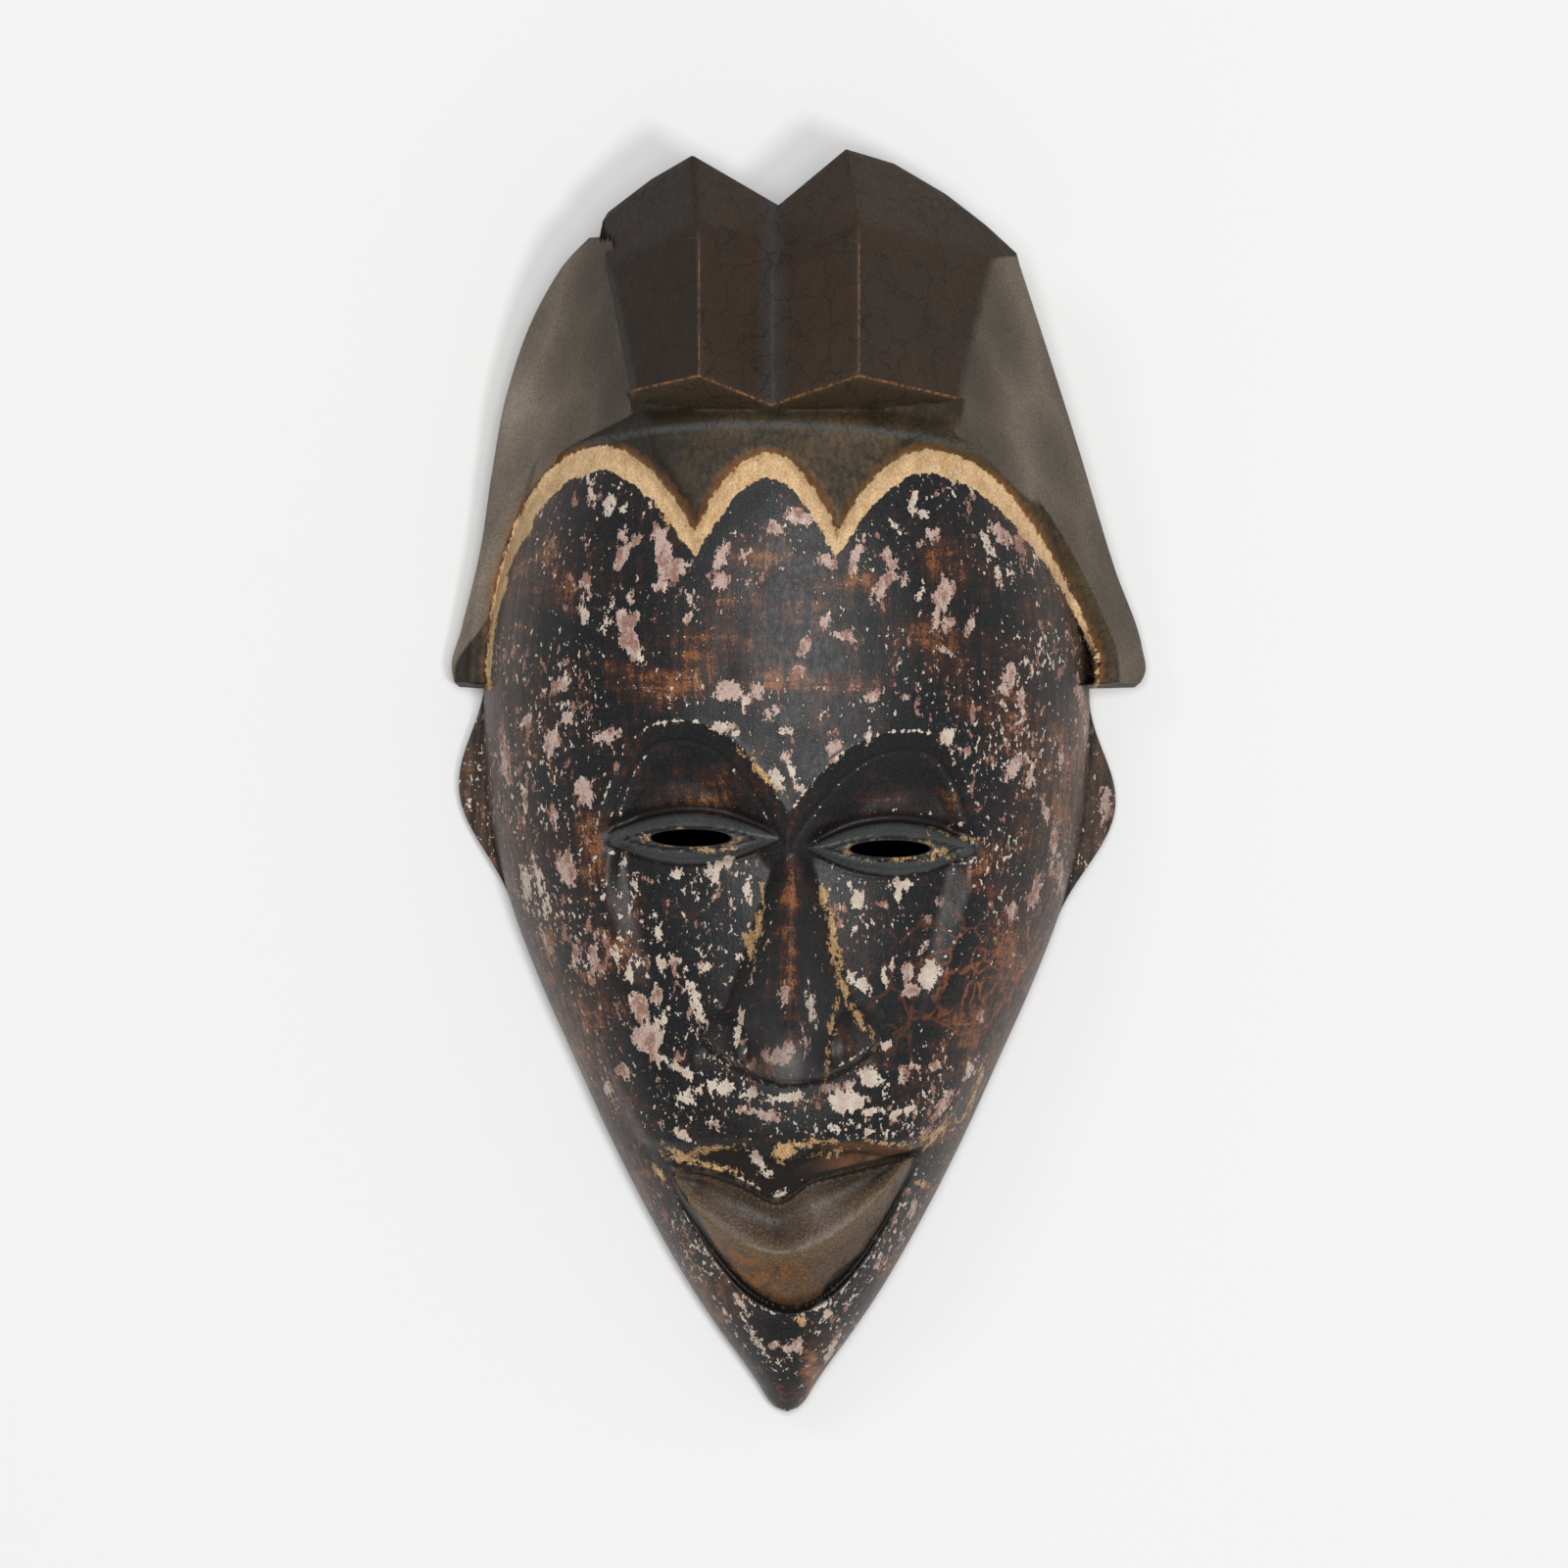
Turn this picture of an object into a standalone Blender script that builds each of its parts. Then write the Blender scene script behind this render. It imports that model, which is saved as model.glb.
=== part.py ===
"""A carved wooden face mask with a two-lobed coiffure, lying face up on the rim of its hollow back.

Metres. +X is the wearer's left, +Y runs from the chin to the coiffure, and +Z comes out of the face.
The mask is carved from one block: an outer form, a hollow cut from behind and two eye slits.
"""

import bmesh
import bpy
import numpy as np

MM = 0.001

# Driving sizes of the block.
LENGTH = 420 * MM
FACE_WIDTH = 203 * MM
FACE_DEPTH = 98 * MM

# Sizes that stay what they are when the block grows.
RIM_HEIGHT = 8 * MM
RIM_WIDTH = 11 * MM
FRONT_WALL = 17 * MM
SLIT_LENGTH = 26.4 * MM
SLIT_HEIGHT = 6.0 * MM
CUT_OVERRUN = 4 * MM

# How finely the front is measured out, and about how many faces it keeps once flat places are thinned.
FRONT_COLUMNS, FRONT_ROWS = 170, 320
FACES_KEPT = 7400

# One step of carving along the face, across it and out of it. The carving keeps its proportions.
UP = LENGTH / 420
OUT = FACE_WIDTH / 203
HIGH = FACE_DEPTH / 98

# Face: half its width, and the height of its middle line, at stations up from the chin's tip.
FACE_SIDE = [(0, 3), (3, 5.6), (8, 8.8), (14, 12.8), (27, 22.3), (40, 31), (66, 46), (92, 59.2), (118, 71),
             (144, 82.6), (170, 92.4), (195, 98.5), (220, 101), (240, 101.5), (262, 100), (285, 95.5),
             (300, 91.5), (325, 85), (350, 75), (380, 58), (405, 36)]
FACE_RIDGE = [(0, 13), (5, 20), (14, 29), (27, 39), (40, 47.5), (60, 57), (80, 66), (110, 76.5), (150, 86),
              (200, 94), (240, 97.6), (275, 98), (305, 95.5), (335, 89.5), (365, 78), (405, 56)]
FACE_FULLNESS = 2.15

# Eyes: for each side the almond's middle, half length and half height, and the slit's middle.
EYES = [((-32.1, 192.2), 29.7, 8.4), ((35.2, 188.8), 28.6, 8.7)]
FLAT_LONG, FLAT_TALL = 19 * OUT, 4.3 * UP
LID_SINK, FLAT_SINK = 2.2 * HIGH, 2.2 * HIGH
FOLD_DEPTH = 2.0 * HIGH
SLITS = [(-31.6, 192.5), (34.0, 188.9)]

# Brows: for each side the peak of the arch, its outer end and the outer end's height.
BROWS = [((-34.6, 230.6), -62.6, 197.0), ((39.2, 227.3), 66.0, 192.0)]
BROW_MEETING = (0.5, 199.4)
BROW_STEP, BROW_BEVEL = 3.4 * HIGH, 4.5 * MM
SOCKET_DEPTH = [(96, 0), (120, 1.5), (150, 4.5), (172, 6.5), (188, 8.0), (206, 9.0), (230, 7.5)]
CHEEK_EDGE = [(96, 50), (125, 51), (154, 58), (180, 64), (240, 66)]

# Nose: height of its ridge, and where it stands across the face, at stations up from the chin.
NOSE_RIDGE = [(108, 98), (116, 105.5), (124, 107), (140, 103), (160, 97.5), (180, 91), (193, 86.5), (204, 84.5)]
NOSE_LINE = [(108, 0.5), (150, 1.2), (196, 2.2)]
NOSE_SLOPE = 1.45
NOSE_ROUND = 3.4 * OUT
NOSE_BASE = (2.0, 108.5, 0.0155)
NOSTRILS = [(-14.5, 121, 12.5), (18.5, 121.5, 14.0)]
NOSTRIL_TALL, NOSTRIL_TOP, NOSTRIL_DROP = 15, 91 * HIGH, 13 * HIGH

# Mouth: the groove round the lips, the lower lip's crest and the muzzle as bowls, then the upper lip's two edges.
GROOVE = (1.0, 33.9, 0.028)
CREST = (-2.0, 54.3, 0.0178)
MUZZLE = (2.0, 40.0, 0.0185)
LIP_POINT, LIP_SLOPES, LIP_ROUND = (-2.0, 72.0), (0.31, 0.36), 3.0
MUZZLE_EDGE = [(-60, 96), (-40, 89), (-20, 91), (-8, 90), (1, 86.5), (9, 90.5), (20, 91.8), (45, 91.5), (60, 104)]
MOUTH_ENDS = (-39.0, 47.5)
GROOVE_SINK, CREST_RISE, SCOOP_SINK, LIP_SINK = 6.0, 4.5, 5.5, 4.0

# Hairline: three arches, each with its middle, its top and how fast it falls to either side.
ARCHES = [(-62, 320, 0.0, 0.0313), (-6.5, 317, 0.0515, 0.056), (47, 318.7, 0.0325, 0.0215)]
NOTCHES = (-29.6, 16.4)
SIDE_REACH, SIDE_FALL = 36.5, 75.0
HAIR_BEVEL = 2.3
ROLL, ROLL_DROP = (-8, 331, -0.0016), 3.5 * HIGH
WING_STEP, WING_FILL = 12 * HIGH, 50 * HIGH

# Ears: middle and half length along the side, and how far each stands out.
EARS = [(208, 37, 9.8), (202, 37, 10.6)]
EAR_HEIGHT = 24 * HIGH

# Coiffure: how far the cap over the head, and each wing, reaches from the middle, and the crown's outline.
CAP_RISE = 4.0 * HIGH
CAP_SIDE = [(243, 140), (300, 124), (330, 118), (420, 118)]
WING_FOOT = 243 * UP
LEFT_WING = [(243, 111), (249, 112.3), (262, 109), (288, 102.6), (314, 98.6), (341, 93.2), (367, 82), (380, 72.5),
             (392, 62)]
RIGHT_WING = [(243, 117.6), (247, 119.8), (256, 118.9), (282, 109.7), (321, 97.6), (360, 85.2), (392, 75)]
CROWN_TOP = [(-62, 395), (-59.4, 400), (-45, 410.5), (-31.2, 418), (-2.8, 401.7), (19.5, 420), (35.5, 415.8),
             (52.8, 406), (65.9, 396), (77.3, 385.7)]

# Facets of the coiffure: three corners of each plane (across, up, out).
RIGHT_LOBE = [
    ((23.7, 343.8, 110), (23.7, 394.5, 102), (-4.7, 334.7, 96)),
    ((23.7, 394.5, 102), (19.5, 420, 80), (-2.8, 401.7, 74)),
    ((23.7, 343.8, 110), (23.7, 394.5, 102), (58, 337.3, 81)),
    ((23.7, 394.5, 102), (19.5, 420, 80), (77.3, 385.7, 46)),
    ((-4.7, 334.7, 96), (23.7, 343.8, 110), (23.7, 333.5, 90)),
    ((23.7, 343.8, 110), (58, 337.3, 81), (23.7, 333.5, 90)),
]
LEFT_LOBE = [
    ((-28.9, 343.8, 110), (-29.5, 394, 102), (-4.7, 334.7, 96)),
    ((-29.5, 394, 102), (-31.2, 418, 80), (-2.8, 401.7, 74)),
    ((-28.9, 343.8, 110), (-29.5, 394, 102), (-54, 340, 86)),
    ((-29.5, 394, 102), (-31.2, 418, 80), (-61, 392, 64)),
    ((-4.7, 334.7, 96), (-28.9, 343.8, 110), (-28.9, 333.5, 90)),
    ((-28.9, 343.8, 110), (-54, 340, 86), (-28.9, 333.5, 90)),
    ((-60.7, 389.6, 70), (-51.6, 333, 80), (-64, 389.6, 58)),
]

# Where the left lobe ends and where the two lobes meet: across, up, and how far across it goes for each step up.
LOBE_SIDE = (-51.6, 333, -0.161)
VALLEY = (-4.9, 335, 0.044)

RIGHT_WING_FACE = ((59.3, 358.5, 76.5), (77.3, 385.7, 50), (118.9, 255.6, 18))
LEFT_WING_FACE = ((-56, 345, 77), (-91.7, 345, 34), (-112.3, 249, 16))

# Back: how far its edges lean in from the front's, and the hollow's two ends and the length of their curves.
BACK_LEAN = 0.14
HOLLOW_ENDS = (42, 372)
HOLLOW_CURVES = (34, 40)


def curve(at, pairs, scale_at=1.0, scale_value=1.0):
    """The smooth curve through (place, value) pairs, a cubic between each two."""
    places, values = np.array(pairs, float).T * [[scale_at], [scale_value]]
    slopes = np.gradient(values, places)
    i = np.clip(np.searchsorted(places, at) - 1, 0, len(places) - 2)
    gap = places[i + 1] - places[i]
    t = np.clip((at - places[i]) / gap, 0, 1)
    start = (1 + 2 * t) * (1 - t) ** 2 * values[i] + t * (1 - t) ** 2 * gap * slopes[i]
    end = t * t * (3 - 2 * t) * values[i + 1] + t * t * (t - 1) * gap * slopes[i + 1]
    return start + end


def ramp(value, width):
    """0 below zero and 1 past width, with a smooth turn at both ends."""
    t = np.clip(value / width, 0, 1)
    return t * t * (3 - 2 * t)


def soft_max(a, b, blend):
    return (a + b + np.sqrt((a - b) ** 2 + blend**2)) / 2


def soft_min(a, b, blend):
    return (a + b - np.sqrt((a - b) ** 2 + blend**2)) / 2


def face_half_width(y):
    return curve(y, FACE_SIDE, UP, OUT)


def dome(x, y):
    """The face before its features: an oval section at each station, standing on the rim."""
    share = np.clip(np.abs(x) / face_half_width(y), 0, 1)
    rise = curve(y, FACE_RIDGE, UP, HIGH) - RIM_HEIGHT
    return RIM_HEIGHT + rise * np.sqrt(np.clip(1 - share**FACE_FULLNESS, 0, 1))


def brow_line(x, side):
    """Height up the face of one brow's arch, falling steeply past its outer end."""
    (peak, top), end, foot = BROWS[side]
    turn = (x / OUT - peak) * (1 if side else -1)
    outside = top - (top - foot) * (np.abs(turn) / abs(end - peak)) ** 3
    inside = top - (top - BROW_MEETING[1]) * (np.abs(turn) / abs(peak - BROW_MEETING[0])) ** 2.1
    return np.where(turn > 0, outside, inside) * UP


def below_line(x, y, line):
    """Distance below a line given as a function of x, measured square to it."""
    step = 0.2 * MM
    slope = (line(x + step) - line(x - step)) / (2 * step)
    return (line(x) - y) / np.sqrt(1 + slope**2)


def above_bowl(x, y, bowl):
    """Distance above a parabola that opens up the face: its middle, its foot and how fast it rises."""
    middle, foot, opening = bowl
    return below_line(x, -y, lambda v: -(foot + opening * (v / OUT - middle) ** 2) * UP)


def almond(x, y, middle, long, tall):
    """Distance inside a pointed oval, 0 on its edge and negative outside."""
    dx, dy = x - middle[0] * OUT, y - middle[1] * UP
    share = np.clip(np.abs(dx) / long, 0, 1.15)
    edge = tall * (1 - share**2)
    return (edge - np.abs(dy)) / np.sqrt(1 + (2 * tall * share / long) ** 2)


def carve_sockets(x, y, z):
    """Sinks the eye sockets and cheeks below a bevelled brow edge."""
    left = below_line(x, y, lambda v: brow_line(v, 0))
    right = below_line(x, y, lambda v: brow_line(v, 1))
    inside = np.where(x > BROW_MEETING[0] * OUT, right, left)
    high = ramp(y - 176 * UP, 22 * UP)
    step = BROW_STEP * ramp(inside, BROW_BEVEL) * high
    rest = curve(y, SOCKET_DEPTH, UP, HIGH) - BROW_STEP * high
    edge = curve(y, CHEEK_EDGE, UP, OUT)
    return z - step - rest * ramp(inside, 16 * UP) * ramp(edge - np.abs(x), 15 * OUT)


def carve_eyes(x, y, z, base):
    """Raises an almond of lids in each socket, with a flat inside it for the slit."""
    for middle, long, tall in EYES:
        outer = almond(x, y, middle, long * OUT, tall * UP)
        inner = almond(x, y, middle, FLAT_LONG, FLAT_TALL)
        near = ramp(y - middle[1] * UP, 3 * UP) * ramp(long * OUT + 2 * MM - np.abs(x - middle[0] * OUT), 8 * OUT)
        z = z - FOLD_DEPTH * near * np.exp(-(((outer + 2.6 * MM) / (2.4 * MM)) ** 2))
        lid = base - LID_SINK * (1.5 - 0.5 * ramp(outer, 6 * UP))
        z = z + (lid - z) * ramp(outer + 0.4 * MM, 2.6 * MM)
        z = z - FLAT_SINK * ramp(inner, 2.0 * MM)
    return z


def carve_nose(x, y, z):
    """A narrow ridge with steep sides that spreads into two nostril wings over a curved base."""
    across = x - curve(y, NOSE_LINE, UP, OUT)
    ridge = curve(y, NOSE_RIDGE, UP, HIGH)
    body = ridge - NOSE_SLOPE * (HIGH / OUT) * (np.sqrt(across**2 + NOSE_ROUND**2) - NOSE_ROUND)
    body = body - 3 * ramp(y - 197 * UP, 14 * UP) * (y - 197 * UP)
    for middle, height, half in NOSTRILS:
        off = ((x / OUT - middle) / half) ** 2 + ((y / UP - height) / NOSTRIL_TALL) ** 2
        body = soft_max(body, NOSTRIL_TOP - NOSTRIL_DROP * off, 1.2 * HIGH)
    nose = soft_max(z, body, 1.0 * HIGH)
    return z + (nose - z) * ramp(above_bowl(x, y, NOSE_BASE), 3 * UP)


def carve_mouth(x, y, z):
    """A muzzle, an upper lip cut in under it, a scooped mouth, a full lower lip and a groove round it."""
    groove, crest = above_bowl(x, y, GROOVE), above_bowl(x, y, CREST)
    turned = x / OUT - LIP_POINT[0]
    slope = np.where(turned < 0, LIP_SLOPES[0], LIP_SLOPES[1])
    lip = y - (LIP_POINT[1] + slope * (np.sqrt(turned**2 + LIP_ROUND**2) - LIP_ROUND)) * UP
    muzzle = y - curve(x, MUZZLE_EDGE, OUT, UP)
    full = ramp(above_bowl(x, y, MUZZLE), 5 * MM) * ramp(128 * UP - y, 34 * UP) * ramp(muzzle + 2 * MM, 5 * UP)
    z = z + HIGH * full * (2.2 + 2.0 * ramp(np.abs(x) - 26 * OUT, 22 * OUT))
    width = ramp(groove - np.minimum(lip, 0), 16 * UP)
    t = np.clip(groove / np.maximum(groove - crest, MM), 0, 1)
    outside = CREST_RISE - (CREST_RISE + GROOVE_SINK) * (1 - t) ** 1.6
    s = np.clip(crest / np.maximum(crest - lip, MM), 0, 1)
    scoop = CREST_RISE - (CREST_RISE + SCOOP_SINK) * np.sin(np.minimum(s * 1.25, 1.0) * np.pi / 2) ** 1.3
    profile = np.where(crest < 0, outside, scoop)
    z = z + HIGH * profile * width * ramp(groove, 2.2 * MM) * ramp(-lip, 2.0 * UP)
    ends = ramp(x / OUT - MOUTH_ENDS[0], 8) * ramp(MOUTH_ENDS[1] - x / OUT, 8)
    return z - LIP_SINK * HIGH * ramp(lip + 2 * UP, 2 * UP) * ramp(-muzzle, 4 * UP) * ends * ramp(groove, 3 * UP)


def past_hairline(x, y):
    """Distance outside the scalloped hairline, negative on the face: three arches, the first one's side an oval."""

    def line(v):
        v = v / OUT
        heights = [top - np.where(v < middle, left, right) * (v - middle) ** 2 for middle, top, left, right in ARCHES]
        return UP * np.where(v < NOTCHES[0], heights[0], np.where(v < NOTCHES[1], heights[1], heights[2]))

    middle, top = ARCHES[0][0] * OUT, ARCHES[0][1] * UP
    long, tall = SIDE_REACH * OUT, SIDE_FALL * UP
    dx, dy = x - middle, np.maximum(y - (top - tall), 0)
    ring = np.sqrt((dx / long) ** 2 + (dy / tall) ** 2) + 1e-6
    oval = (ring - 1) * ring / np.sqrt((dx / long**2) ** 2 + (dy / tall**2) ** 2 + 1e-9)
    return np.where(x < middle, oval, -below_line(x, y, line))


def plane_height(x, y, corners):
    """Height at (x, y) of the plane through three corners."""
    a, b, c = (np.array(corner) * [OUT, UP, HIGH] for corner in corners)
    normal = np.cross(b - a, c - a)
    return a[2] - (normal[0] * (x - a[0]) + normal[1] * (y - a[1])) / normal[2]


def lobe(x, y, facets):
    """A block cut by planes: at each point the lowest of them is its surface."""
    return np.minimum.reduce([plane_height(x, y, corners) for corners in facets])


def leaning_line(y, line):
    """Place across of a straight line that leans as it goes up."""
    across, start, lean = line
    return across * OUT + lean * (y - start * UP) * OUT / UP


def coiffure(x, y, base):
    """The cap over the head, cut by the wings' outer faces, with the crown's two lobes on top."""
    past = past_hairline(x, y)
    share = np.clip(np.abs(x) / curve(y, CAP_SIDE, UP, OUT), 0, 1)
    rise = curve(y, FACE_RIDGE, UP, HIGH) - RIM_HEIGHT
    cap = RIM_HEIGHT + CAP_RISE + rise * np.sqrt(1 - share**FACE_FULLNESS)
    cap = cap - ROLL_DROP * ramp(above_bowl(x, y, ROLL), 5 * UP)
    wings = np.minimum(plane_height(x, y, RIGHT_WING_FACE), plane_height(x, y, LEFT_WING_FACE))
    foot = np.maximum(base, np.minimum(wings - WING_STEP, WING_FILL))
    cap = soft_min(cap, foot + HAIR_BEVEL * past, 1.5 * MM)
    beside = x < leaning_line(y, LOBE_SIDE)
    cap = np.where((y > LOBE_SIDE[1] * UP) & beside, wings + FACE_DEPTH, cap)
    low = soft_min(cap, wings, 0.8 * MM)
    right = np.minimum(lobe(x, y, RIGHT_LOBE), plane_height(x, y, RIGHT_WING_FACE))
    valley = leaning_line(y, VALLEY)
    right = right - FACE_DEPTH * ramp(valley - 6 * OUT - x, 4 * OUT)
    left = lobe(x, y, LEFT_LOBE) - FACE_DEPTH * ramp(x - valley - 6 * OUT, 4 * OUT)
    return np.maximum(low, np.maximum(left, right))


def ears(x, y):
    """A low crescent on each side of the face."""
    side = (x > 0).astype(int)
    middle, half, reach = (np.take([ear[k] for ear in EARS], side) for k in range(3))
    share = np.clip((y / UP - middle) / half, -1, 1)
    bump = np.cos(share * np.pi / 2) ** 2
    height = RIM_HEIGHT + (EAR_HEIGHT - RIM_HEIGHT) * np.sqrt(bump) * ramp(112 * OUT - np.abs(x), 30 * OUT)
    return height, bump * reach * OUT


def mask_height(x, y):
    """Height of the carved front over the floor."""
    base = dome(x, y)
    z = carve_sockets(x, y, base)
    z = carve_eyes(x, y, z, base)
    z = carve_nose(x, y, z)
    z = carve_mouth(x, y, z)
    ear_height, ear_reach = ears(x, y)
    z = np.where(ear_reach > 0, np.maximum(z, ear_height), z)
    hair = (y > WING_FOOT) & (past_hairline(x, y) > 0)
    return np.where(hair, coiffure(x, y, base), z)


def outline(y):
    """Left and right reach of the mask at each station: face, ears and wings."""
    sides = []
    for side, wing in enumerate((LEFT_WING, RIGHT_WING)):
        sign = 1 if side else -1
        low = face_half_width(y) + ears(np.full_like(y, sign * 1.0), y)[1]
        sides.append(np.where(y > WING_FOOT, curve(y, wing, UP, OUT), low))
    return sides


def crown_line(x):
    return np.interp(x, *np.array(CROWN_TOP).T * [[OUT], [UP]])


def spread_front(u, v):
    """Places of the front's points from a grid: u runs across, -1 to 1, and v from the chin, 0, to the crown, 1."""
    top = 388 * UP
    y = np.where(v < 0.5, v * 2 * WING_FOOT, WING_FOOT + (v - 0.5) * 2 * (top - WING_FOOT))
    left, right = outline(y)
    inner = face_half_width(y)
    reach = np.where(u < 0, left, right)
    x = inner * np.sin(u * np.pi / 2) + (reach - inner) * np.sign(u) * ramp(np.abs(u) - 0.45, 0.55)
    lift = np.clip((y - 330 * UP) / (top - 330 * UP), 0, 1) ** 1.5
    y = y + lift * (crown_line(x) - top)
    return x, y, np.maximum(mask_height(x, y), RIM_HEIGHT)


def rounded_end(distance, length):
    """0 at an end and 1 past length, along a quarter of an oval."""
    return np.sqrt(1 - np.clip(1 - distance / length, 0, 1) ** 2)


def spread_hollow(u, v):
    """Places of the hollow's points, a plain bowl under the face, down to the floor at its edge."""
    low, high = (end * UP for end in HOLLOW_ENDS)
    y = low + (high - low) * (1 - np.cos(v * np.pi)) / 2
    rise = rounded_end(y - low, HOLLOW_CURVES[0] * UP) * rounded_end(high - y, HOLLOW_CURVES[1] * UP)
    across = np.sin(u * np.pi / 2)
    x = (face_half_width(y) - RIM_WIDTH) * rise * across
    height = curve(y, FACE_RIDGE, UP, HIGH) - FRONT_WALL
    return x, y, height * rise * np.sqrt(1 - np.abs(across) ** FACE_FULLNESS)


def add_object(name, bm, collection):
    mesh = bpy.data.meshes.new(name)
    bm.to_mesh(mesh)
    bm.free()
    obj = bpy.data.objects.new(name, mesh)
    collection.objects.link(obj)
    return obj


def solid_under(name, columns, rows, spread, lean, floor, collection):
    """A closed block: a grid laid over the points that spread gives, with walls down to a flat floor."""
    bm = bmesh.new()
    bmesh.ops.create_grid(bm, x_segments=columns, y_segments=rows, size=1)
    places = np.array([vert.co for vert in bm.verts], float)
    x, y, z = spread(places[:, 0], (places[:, 1] + 1) / 2)
    for vert, place in zip(bm.verts, np.stack([x, y, z], axis=1)):
        vert.co = place
    rim = [edge for edge in bm.edges if edge.is_boundary]
    walls = bmesh.ops.extrude_edge_only(bm, edges=rim)["geom"]
    feet = [item for item in walls if isinstance(item, bmesh.types.BMVert)]
    for vert in feet:
        inward = lean * vert.co.z
        vert.co.x *= 1 - inward / FACE_WIDTH
        vert.co.y -= inward * vert.co.y / LENGTH
        vert.co.z = floor
    bmesh.ops.holes_fill(bm, edges=[edge for edge in bm.edges if edge.is_boundary])
    bmesh.ops.recalc_face_normals(bm, faces=bm.faces)
    return add_object(name, bm, collection)


def new_collection(name):
    collection = bpy.data.collections.new(name)
    bpy.context.scene.collection.children.link(collection)
    return collection


def worn_wood():
    """Blackened, worn wood."""
    material = bpy.data.materials.new("blackened_wood")
    material.use_nodes = True
    shader = material.node_tree.nodes["Principled BSDF"]
    shader.inputs["Base Color"].default_value = (0.028, 0.024, 0.022, 1)
    shader.inputs["Roughness"].default_value = 0.5
    shader.inputs["Metallic"].default_value = 0
    return material


def slit_cutter(index, collection):
    """An oval prism through one eye."""
    x, y = SLITS[index]
    bm = bmesh.new()
    bmesh.ops.create_cone(bm, cap_ends=True, segments=24, radius1=0.5, radius2=0.5, depth=1)
    bmesh.ops.scale(bm, vec=(SLIT_LENGTH, SLIT_HEIGHT, FACE_DEPTH), verts=bm.verts)
    bmesh.ops.translate(bm, vec=(x * OUT, y * UP, FACE_DEPTH * 0.75), verts=bm.verts)
    return add_object(f"eye_slit_{index}", bm, collection)


def cut(obj, cutter):
    modifier = obj.modifiers.new(cutter.name, "BOOLEAN")
    modifier.operation = "DIFFERENCE"
    modifier.solver = "EXACT"
    modifier.object = cutter


def build_mask(parts, cutters):
    mask = solid_under("carved_mask", FRONT_COLUMNS, FRONT_ROWS, spread_front, BACK_LEAN, 0, parts)
    mask.data.materials.append(worn_wood())
    thin = mask.modifiers.new("fewer_faces", "DECIMATE")
    thin.ratio = FACES_KEPT / (2 * FRONT_COLUMNS * FRONT_ROWS)
    hollow = solid_under("hollow", 24, 40, spread_hollow, 0, -CUT_OVERRUN, cutters)
    for cutter in [hollow, slit_cutter(0, cutters), slit_cutter(1, cutters)]:
        cutter.parent = mask
        cut(mask, cutter)
    for cutter in cutters.objects:
        cutter.hide_render = True
        cutter.display_type = "WIRE"
    return mask


def centre_on_floor(obj):
    """Moves the object so that the middle of its box, seen from above, is at the origin."""
    bpy.context.view_layer.update()
    corners = np.array(obj.evaluated_get(bpy.context.evaluated_depsgraph_get()).bound_box)
    middle = (corners.min(axis=0) + corners.max(axis=0)) / 2
    obj.location = (-middle[0], -middle[1], 0)


def main():
    for obj in list(bpy.data.objects):
        bpy.data.objects.remove(obj, do_unlink=True)
    parts = new_collection("igbo_mask")
    cutters = new_collection("cutters")
    centre_on_floor(build_mask(parts, cutters))


main()
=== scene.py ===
"""Looks of a carved wooden face mask with a two-lobed coiffure, blackened, worn and flaking, lying face up."""

import functools

import bmesh
import bpy
import numpy as np
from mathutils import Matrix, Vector


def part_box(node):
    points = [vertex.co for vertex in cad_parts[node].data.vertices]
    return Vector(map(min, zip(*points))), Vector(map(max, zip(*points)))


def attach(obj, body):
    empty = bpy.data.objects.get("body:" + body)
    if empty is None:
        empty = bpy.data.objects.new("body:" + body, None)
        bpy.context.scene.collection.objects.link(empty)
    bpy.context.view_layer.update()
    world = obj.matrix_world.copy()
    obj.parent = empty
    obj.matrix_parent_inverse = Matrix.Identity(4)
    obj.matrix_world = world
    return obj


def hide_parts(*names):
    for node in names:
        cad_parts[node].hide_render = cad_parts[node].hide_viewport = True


bl_info = {
    "name": "Carved Wooden Mask",
    "version": (1, 0, 0),
    "blender": (4, 5, 0),
    "location": "3D View > Sidebar > Mask",
    "description": "Carves a blackened wooden face mask over its packed solid and sets a plain studio around it",
    "category": "Add Mesh",
}

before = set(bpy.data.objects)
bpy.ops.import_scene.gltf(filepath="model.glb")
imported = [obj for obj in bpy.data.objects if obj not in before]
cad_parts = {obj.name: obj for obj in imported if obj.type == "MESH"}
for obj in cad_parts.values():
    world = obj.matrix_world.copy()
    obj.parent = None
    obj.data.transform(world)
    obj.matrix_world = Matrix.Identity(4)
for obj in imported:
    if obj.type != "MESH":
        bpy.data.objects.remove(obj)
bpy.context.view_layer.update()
LOW, HIGH = (np.array(corner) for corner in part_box("carved_mask"))

# All carving below is in millimetres: x across the face, y up from the chin's tip, z out of the face.
MM = 0.001

# The front's rows: share of all rows used up, and how far up the mask that is. Features get closer rows.
ROW_SHARES = [(0, 0), (0.06, 30), (0.28, 100), (0.37, 131), (0.45, 172), (0.655, 235), (0.74, 280), (0.915, 348),
              (1, 388)]

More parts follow.
